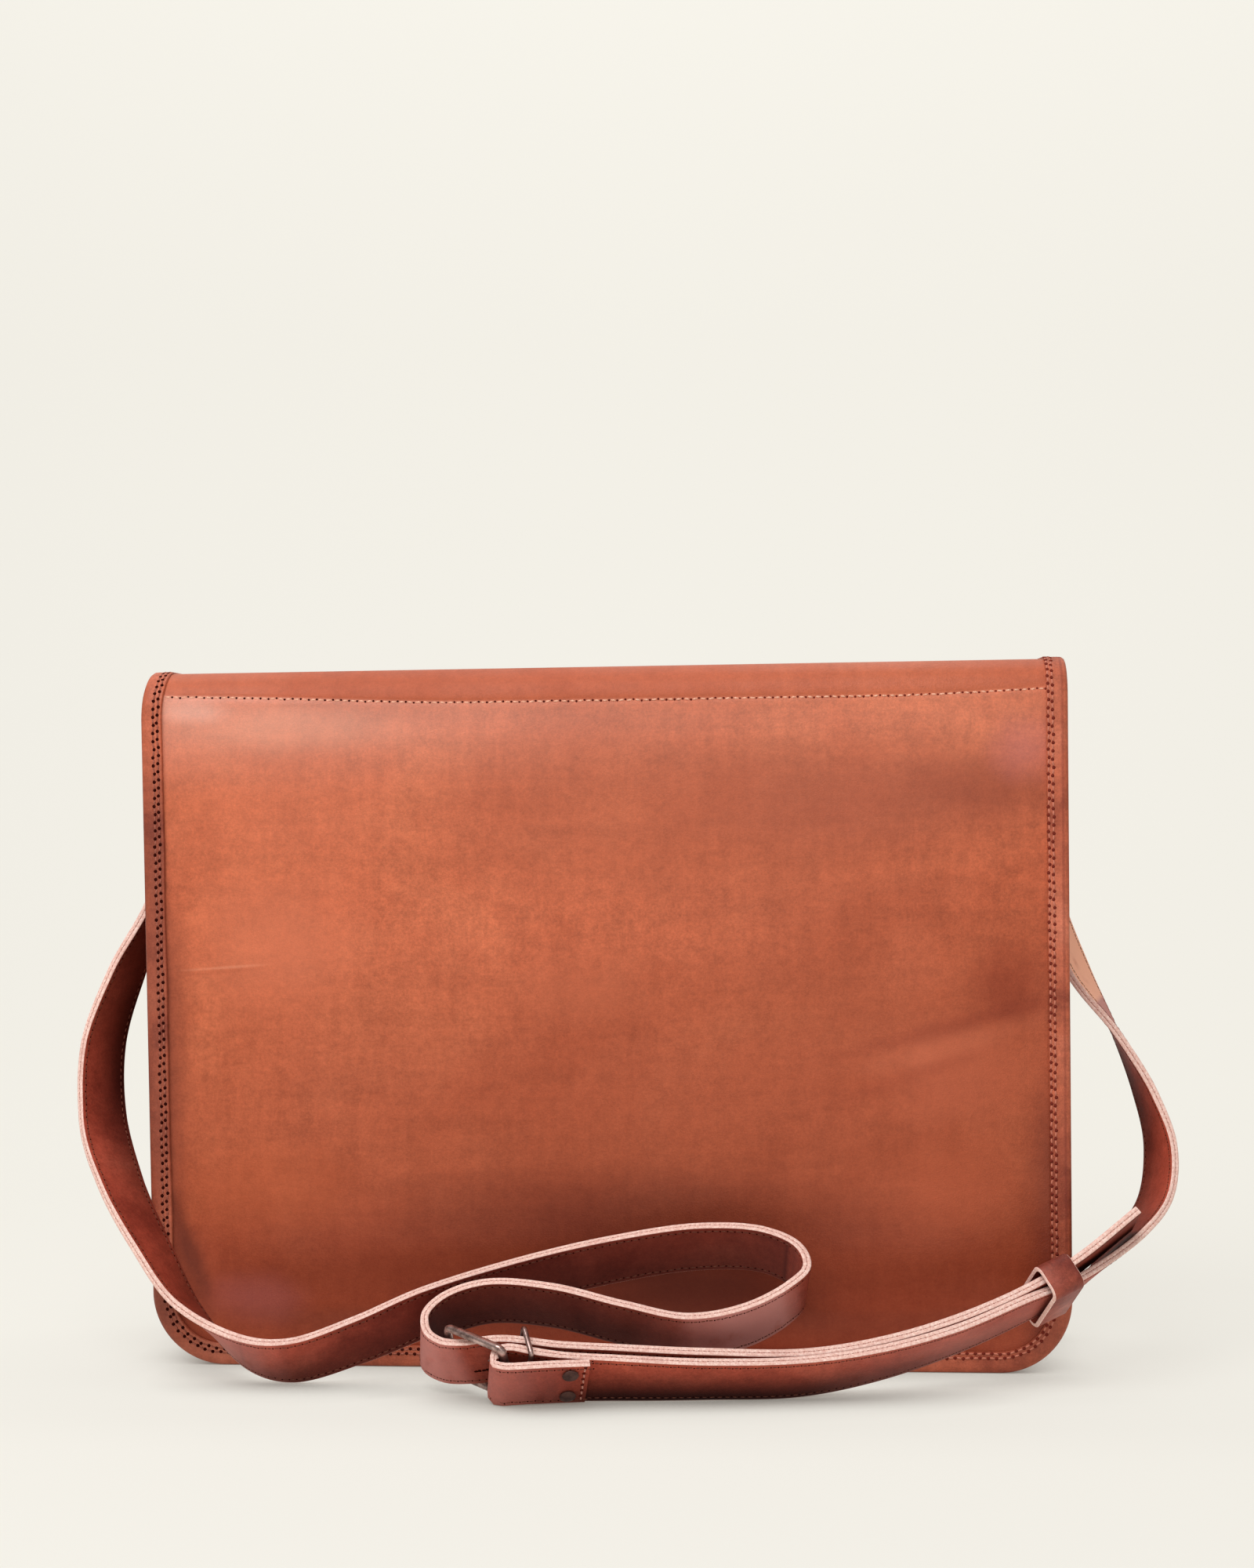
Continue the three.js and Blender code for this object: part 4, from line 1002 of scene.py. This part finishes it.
def stitchTree():
    tree = bpy.data.node_groups.new("stitchRow", "GeometryNodeTree")
    link = tree.links.new
    sockets = [("Path", "Geometry")]
    sockets += [(label, "Float") for label in ("Pitch", "Thread Long", "Thread Wide", "Thread High")]
    sockets += [(label, "Float") for label in ("Hole Wide", "Hole High", "Wobble")]
    sockets += [("Seed", "Int"), ("Thread", "Material"), ("Hole", "Material")]
    for label, kind in sockets:
        tree.interface.new_socket(label, in_out="INPUT", socket_type="NodeSocket" + kind)
    tree.interface.new_socket("Stitches", in_out="OUTPUT", socket_type="NodeSocketGeometry")

    def node(kind, **settings):
        made = tree.nodes.new(kind)
        for key, value in settings.items():
            setattr(made, key, value)
        return made

    inputs = node("NodeGroupInput").outputs
    # points at even pitch along the path
    curve = node("GeometryNodeMeshToCurve")
    even = node("GeometryNodeResampleCurve", mode="LENGTH")
    link(inputs["Path"], curve.inputs[0])
    link(curve.outputs[0], even.inputs["Curve"])
    link(inputs["Pitch"], even.inputs["Length"])
    # turned along the row and out of the leather, with a small swing
    upward = node("GeometryNodeInputNamedAttribute", data_type="FLOAT_VECTOR")
    upward.inputs["Name"].default_value = "surfaceUp"
    along = node("GeometryNodeInputTangent")
    alignX = node("FunctionNodeAlignRotationToVector", axis="X")
    alignZ = node("FunctionNodeAlignRotationToVector", axis="Z", pivot_axis="X")
    link(along.outputs[0], alignX.inputs["Vector"])
    link(alignX.outputs[0], alignZ.inputs["Rotation"])
    link(upward.outputs["Attribute"], alignZ.inputs["Vector"])
    rand = node("FunctionNodeRandomValue", data_type="FLOAT")
    rand.inputs[2].default_value = -1
    rand.inputs[3].default_value = 1
    swing = node("ShaderNodeMath", operation="MULTIPLY")
    turn = node("FunctionNodeAxisAngleToRotation")
    spin = node("FunctionNodeRotateRotation", rotation_space="LOCAL")
    link(inputs["Seed"], rand.inputs["Seed"])
    link(rand.outputs[1], swing.inputs[0])
    link(inputs["Wobble"], swing.inputs[1])
    link(swing.outputs[0], turn.inputs["Angle"])
    link(alignZ.outputs[0], spin.inputs["Rotation"])
    link(turn.outputs[0], spin.inputs["Rotate By"])
    # flattened balls: thread on the points, holes halfway between
    shown = node("GeometryNodeJoinGeometry")
    for part, long, shift, rings in (("Thread", "Thread Long", 0.0, 4), ("Hole", "Hole Wide", 0.5, 3)):
        ball = node("GeometryNodeMeshUVSphere")
        ball.inputs["Segments"].default_value = 8
        ball.inputs["Rings"].default_value = rings
        ball.inputs["Radius"].default_value = 0.5
        sizes = node("ShaderNodeCombineXYZ")
        for k, label in enumerate((long, part + " Wide", part + " High")):
            link(inputs[label], sizes.inputs[k])
        offset = node("ShaderNodeMath", operation="MULTIPLY")
        offset.inputs[1].default_value = shift
        away = node("ShaderNodeCombineXYZ")
        placeAt = node("GeometryNodeTransform")
        link(inputs["Pitch"], offset.inputs[0])
        link(offset.outputs[0], away.inputs[0])
        link(away.outputs[0], placeAt.inputs["Translation"])
        link(sizes.outputs[0], placeAt.inputs["Scale"])
        link(ball.outputs[0], placeAt.inputs[0])
        inst = node("GeometryNodeInstanceOnPoints")
        link(even.outputs[0], inst.inputs["Points"])
        link(placeAt.outputs[0], inst.inputs["Instance"])
        link(spin.outputs[0], inst.inputs["Rotation"])
        real = node("GeometryNodeRealizeInstances")
        paint = node("GeometryNodeSetMaterial")
        link(inst.outputs[0], real.inputs[0])
        link(real.outputs[0], paint.inputs["Geometry"])
        link(inputs[part], paint.inputs["Material"])
        link(paint.outputs[0], shown.inputs[0])
    link(shown.outputs[0], node("NodeGroupOutput").inputs[0])
    return tree


stitchNodes = stitchTree()


def sew(name, rows, sizes):
    # rows: lists of (point, outward), made into bare stitches along them
    mesh = bpy.data.meshes.new(name + "Path")
    points, edges, ups = [], [], []
    for row in rows:
        first = len(points)
        points += [p for p, n in row]
        ups += [c for p, n in row for c in n]
        edges += [(first + k, first + k + 1) for k in range(len(row) - 1)]
    mesh.from_pydata(points, edges, [])
    mesh.attributes.new("surfaceUp", "FLOAT_VECTOR", "POINT").data.foreach_set("vector", ups)
    path = newObject(name + "Path", mesh)
    rowNodes = path.modifiers.new("stitches", "NODES")
    rowNodes.node_group = stitchNodes
    for item in stitchNodes.interface.items_tree:
        if item.in_out == "INPUT" and item.name in sizes:
            rowNodes[item.identifier] = sizes[item.name]
    graph = bpy.context.evaluated_depsgraph_get()
    done = bpy.data.meshes.new_from_object(path.evaluated_get(graph))
    bpy.data.objects.remove(path)
    done.name = name
    done.shade_smooth()
    return newObject(name, done)


def onSkin(spot, u, v, n):
    # a place on the leather and the way out of it
    here = spot(u, v, n)
    return here, (spot(u, v, n + 0.001) - here).normalized()


def tapeRow(places, spot, inset, start, closed=False):
    row = []
    for u, v, iu, iv, s in places[start::3] + ([places[start]] if closed else []):
        a = inset + tape["drift"] * u / bag["halfWidth"]
        n = tapeTop(overTop(v) if spot is onHide else 0)
        row.append(onSkin(spot, u + a * iu, v + a * iv, n))
    return row


tanStitch = {"Pitch": tape["pitch"], "Thread Long": 0.0024, "Thread Wide": 0.0009, "Thread High": 0.0006,
             "Hole Wide": 0.0018, "Hole High": 0.00028, "Wobble": 0.2, "Seed": 4,
             "Thread": tanThread, "Hole": tapeHoleShade}
flapSewn = [tapeRow(flapPlaces, onHide, a, 2 * k, True) for k, a in enumerate(tape["rows"])]
footSewn = [tapeRow(footPlaces, onFront, a, 2 * k) for k, a in enumerate(tape["rows"])]
bindingStitches = sew("bindingStitches", flapSewn, tanStitch)
frontStitches = sew("frontStitches", footSewn, tanStitch)

seamStitch = {**tanStitch, "Hole Wide": 0.0012, "Seed": 9, "Thread": seamThread}
seamHalf = hideHalf - tape["reach"] - 0.0002  # just clear of the tape
seamRow = []
for u in spread(-seamHalf, seamHalf, 0.003):
    v = readTable(seamLine, u)
    seamRow.append(onSkin(onHide, u, v, hide["thick"] + hideSwell(u, v, hideHalf)))
seamStitches = sew("seamStitches", [seamRow], seamStitch)


def strapRow(frames, along, side):
    return [(m + e * along + f * side * strapFar, f * side) for m, e, f, h, r in frames[::2]]


def rimRow(frames, way):
    return [(m + e * way * strap["wide"] / 2, e * way) for m, e, f, h, r in frames[::2]]


strapStitch = {**tanStitch, "Pitch": 0.0032, "Thread Long": 0.0021, "Thread Wide": 0.0006,
               "Thread High": 0.0004, "Hole Wide": 0.0009, "Hole High": 0.0002, "Seed": 2,
               "Thread": brownThread, "Hole": holeShade}
edgeStitch = {**tanStitch, "Pitch": 0.0021, "Thread Long": 0.0011, "Thread Wide": 0.00042,
              "Thread High": 0.00024, "Hole Wide": 0.0003, "Hole High": 0.0002, "Seed": 5,
              "Thread": edgeThread, "Hole": edgeThread}
sewIn = strap["wide"] / 2 - strap["stitchIn"]
strapRows, rimRows = [], []
for frames in (longFrames, shortFrames):
    for way in (1, -1):
        strapRows += [strapRow(frames, way * sewIn, side) for side in (1, -1)]
        rimRows.append(rimRow(frames, way))
strapStitches = sew("strapStitches", strapRows, strapStitch)

tabStitch = {**tanStitch, "Seed": 3, "Thread": paleThread}
tabSewn = {"at": -0.0075, "half": 0.0095, "step": 0.001}
tabEnd = frameAt(tabFrames, tabSewn["at"])
tabSeat = tabEnd[0] + tabFront * strapFar
tabShifts = spread(-tabSewn["half"], tabSewn["half"], tabSewn["step"])
tabRow = [(tabSeat + tabEnd[1] * a, tabFront) for a in tabShifts]
tabStitches = sew("tabStitches", [tabRow], tabStitch)

# dark marks in the prong slit: painted shade
slitStitch = {**tanStitch, "Pitch": 0.0032, "Thread Wide": 0.0012, "Seed": 6,
              "Thread": holeShade, "Hole": holeShade}
slit = {"below": 0.0046, "from": 29.05, "to": 29.6}  # rows of the long strap
slitFrames = rowsBetween(longFrames, slit["from"], slit["to"])
slitRow = [(m - e * slit["below"] + f * strapFar, f) for m, e, f, h, r in slitFrames]
prongSlit = sew("prongSlit", [slitRow], slitStitch)
edgeDots = sew("edgeDots", rimRows, edgeStitch)

print("stage 6: frame, stage, camera and light")

pieces = [  # piece, node it stands for, slot
    (hideSkin, "back_and_flap", "hide"), (frontSkin, "front_panel", "hide"),
    (edgeTape, "edge_binding", "binding"), (frontTape, "front_binding", "binding"),
    (gussetSkin, "gusset", "gusset"),
    (straps["longStrapOuter"], "long_strap_outer", "strap_outer"),
    (straps["longStrapInner"], "long_strap_inner", "strap_inner"),
    (straps["shortStrapOuter"], "short_strap_outer", "strap_outer"),
    (straps["shortStrapInner"], "short_strap_inner", "strap_inner"),
    (keeperBand, "keeper", "keeper"), (buckleFrame, "buckle_frame", "metal"),
    (bucklePin, "buckle_prong", "metal"), (wireLoop, "wire_keeper", "metal"),
    (rivets[0], "tab_rivet_upper", "metal"), (rivets[1], "tab_rivet_lower", "metal"),
]
for obj, node, slot in pieces:
    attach(obj, "root")
    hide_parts(node)
for obj in (bindingStitches, frontStitches, seamStitches, strapStitches, tabStitches, prongSlit, edgeDots):
    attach(obj, "root")


def palePaper():
    # glows a little, so that shadows stay faint, and glows less where the bag is close: a painted shadow near
    # the bag
    mat, tree, shader, coords = newMaterial("paleSweep")
    mottle = mixColor(tree, noiseNode(tree, coords, 3.0, 2.0), srgb(121, 120, 116), srgb(123, 122, 118))
    dress(tree, shader, Base_Color=mottle, Roughness=0.9, Specular_IOR_Level=0.0)
    contactShadow = tree.nodes.new("ShaderNodeAmbientOcclusion")
    contactShadow.samples = 3
    contactShadow.inputs["Distance"].default_value = 0.034
    clear = mapRange(tree, contactShadow.outputs["AO"], 0.08, 0.82)
    glow = mixColor(tree, clear, srgb(120, 112, 104), srgb(244, 241, 232))
    dress(tree, shader, Emission_Color=glow, Emission_Strength=0.745)
    return mat


# pale sweep, floor into backdrop
sweep = {"front": -3.0, "back": 1.3, "radius": 0.8, "parts": 24, "high": 3.0, "half": 4.0}
line = [(sweep["front"], 0.0), (sweep["back"], 0.0)]
for k in range(1, sweep["parts"] + 1):
    a = k / sweep["parts"] * math.pi / 2
    line.append((sweep["back"] + sweep["radius"] * math.sin(a), sweep["radius"] * (1 - math.cos(a))))
line.append((sweep["back"] + sweep["radius"], sweep["high"]))
verts = [(x, y, z) for y, z in line for x in (-sweep["half"], sweep["half"])]
paper = bpy.data.meshes.new("sweep")
paper.from_pydata(verts, [], [(2 * k, 2 * k + 1, 2 * k + 3, 2 * k + 2) for k in range(len(line) - 1)])
paper.materials.append(palePaper())
paper.shade_smooth()
floor = newObject("sweep", paper)

camera = newObject("camera", bpy.data.cameras.new("camera"))
camera.location = (0.0703, -1.1984, 0.258)
camera.rotation_euler = (math.radians(90), 0, math.radians(3))
camera.data.sensor_fit = "VERTICAL"
camera.data.sensor_height = 36
camera.data.lens = 62.35
scene.camera = camera

lights = [  # name, place, aim, size x, size y, watts
    ("key", (-0.4, -0.85, 1.3), (0, 0, 0.2), 1.2, 0.8, 18),
    ("frontFill", (0.3, -2.0, 0.6), (0, 0, 0.1), 1.4, 0.6, 6),
    ("backdropWash", (0, 0.9, 2.3), (0, 2.1, 0.9), 3.0, 0.8, 40),
]
for name, place, aim, sizeX, sizeY, watts in lights:
    lamp = bpy.data.lights.new(name, "AREA")
    lamp.shape = "RECTANGLE"
    lamp.size = sizeX
    lamp.size_y = sizeY
    lamp.energy = watts
    obj = newObject(name, lamp)
    obj.location = place
    obj.rotation_euler = (Vector(aim) - Vector(place)).to_track_quat("-Z", "Y").to_euler()

world = bpy.data.worlds.new("studio")
scene.world = world
world.use_nodes = True
wTree = world.node_tree
sky = wTree.nodes["Background"]
sky.inputs["Color"].default_value = (1.0, 0.98, 0.95, 1)
look = placeIn(wTree, wTree.nodes.new("ShaderNodeTexCoord").outputs["Generated"])
wTree.links.new(mapRange(wTree, look["Z"], -0.3, 0.5, 0.06, 0.28), sky.inputs["Strength"])
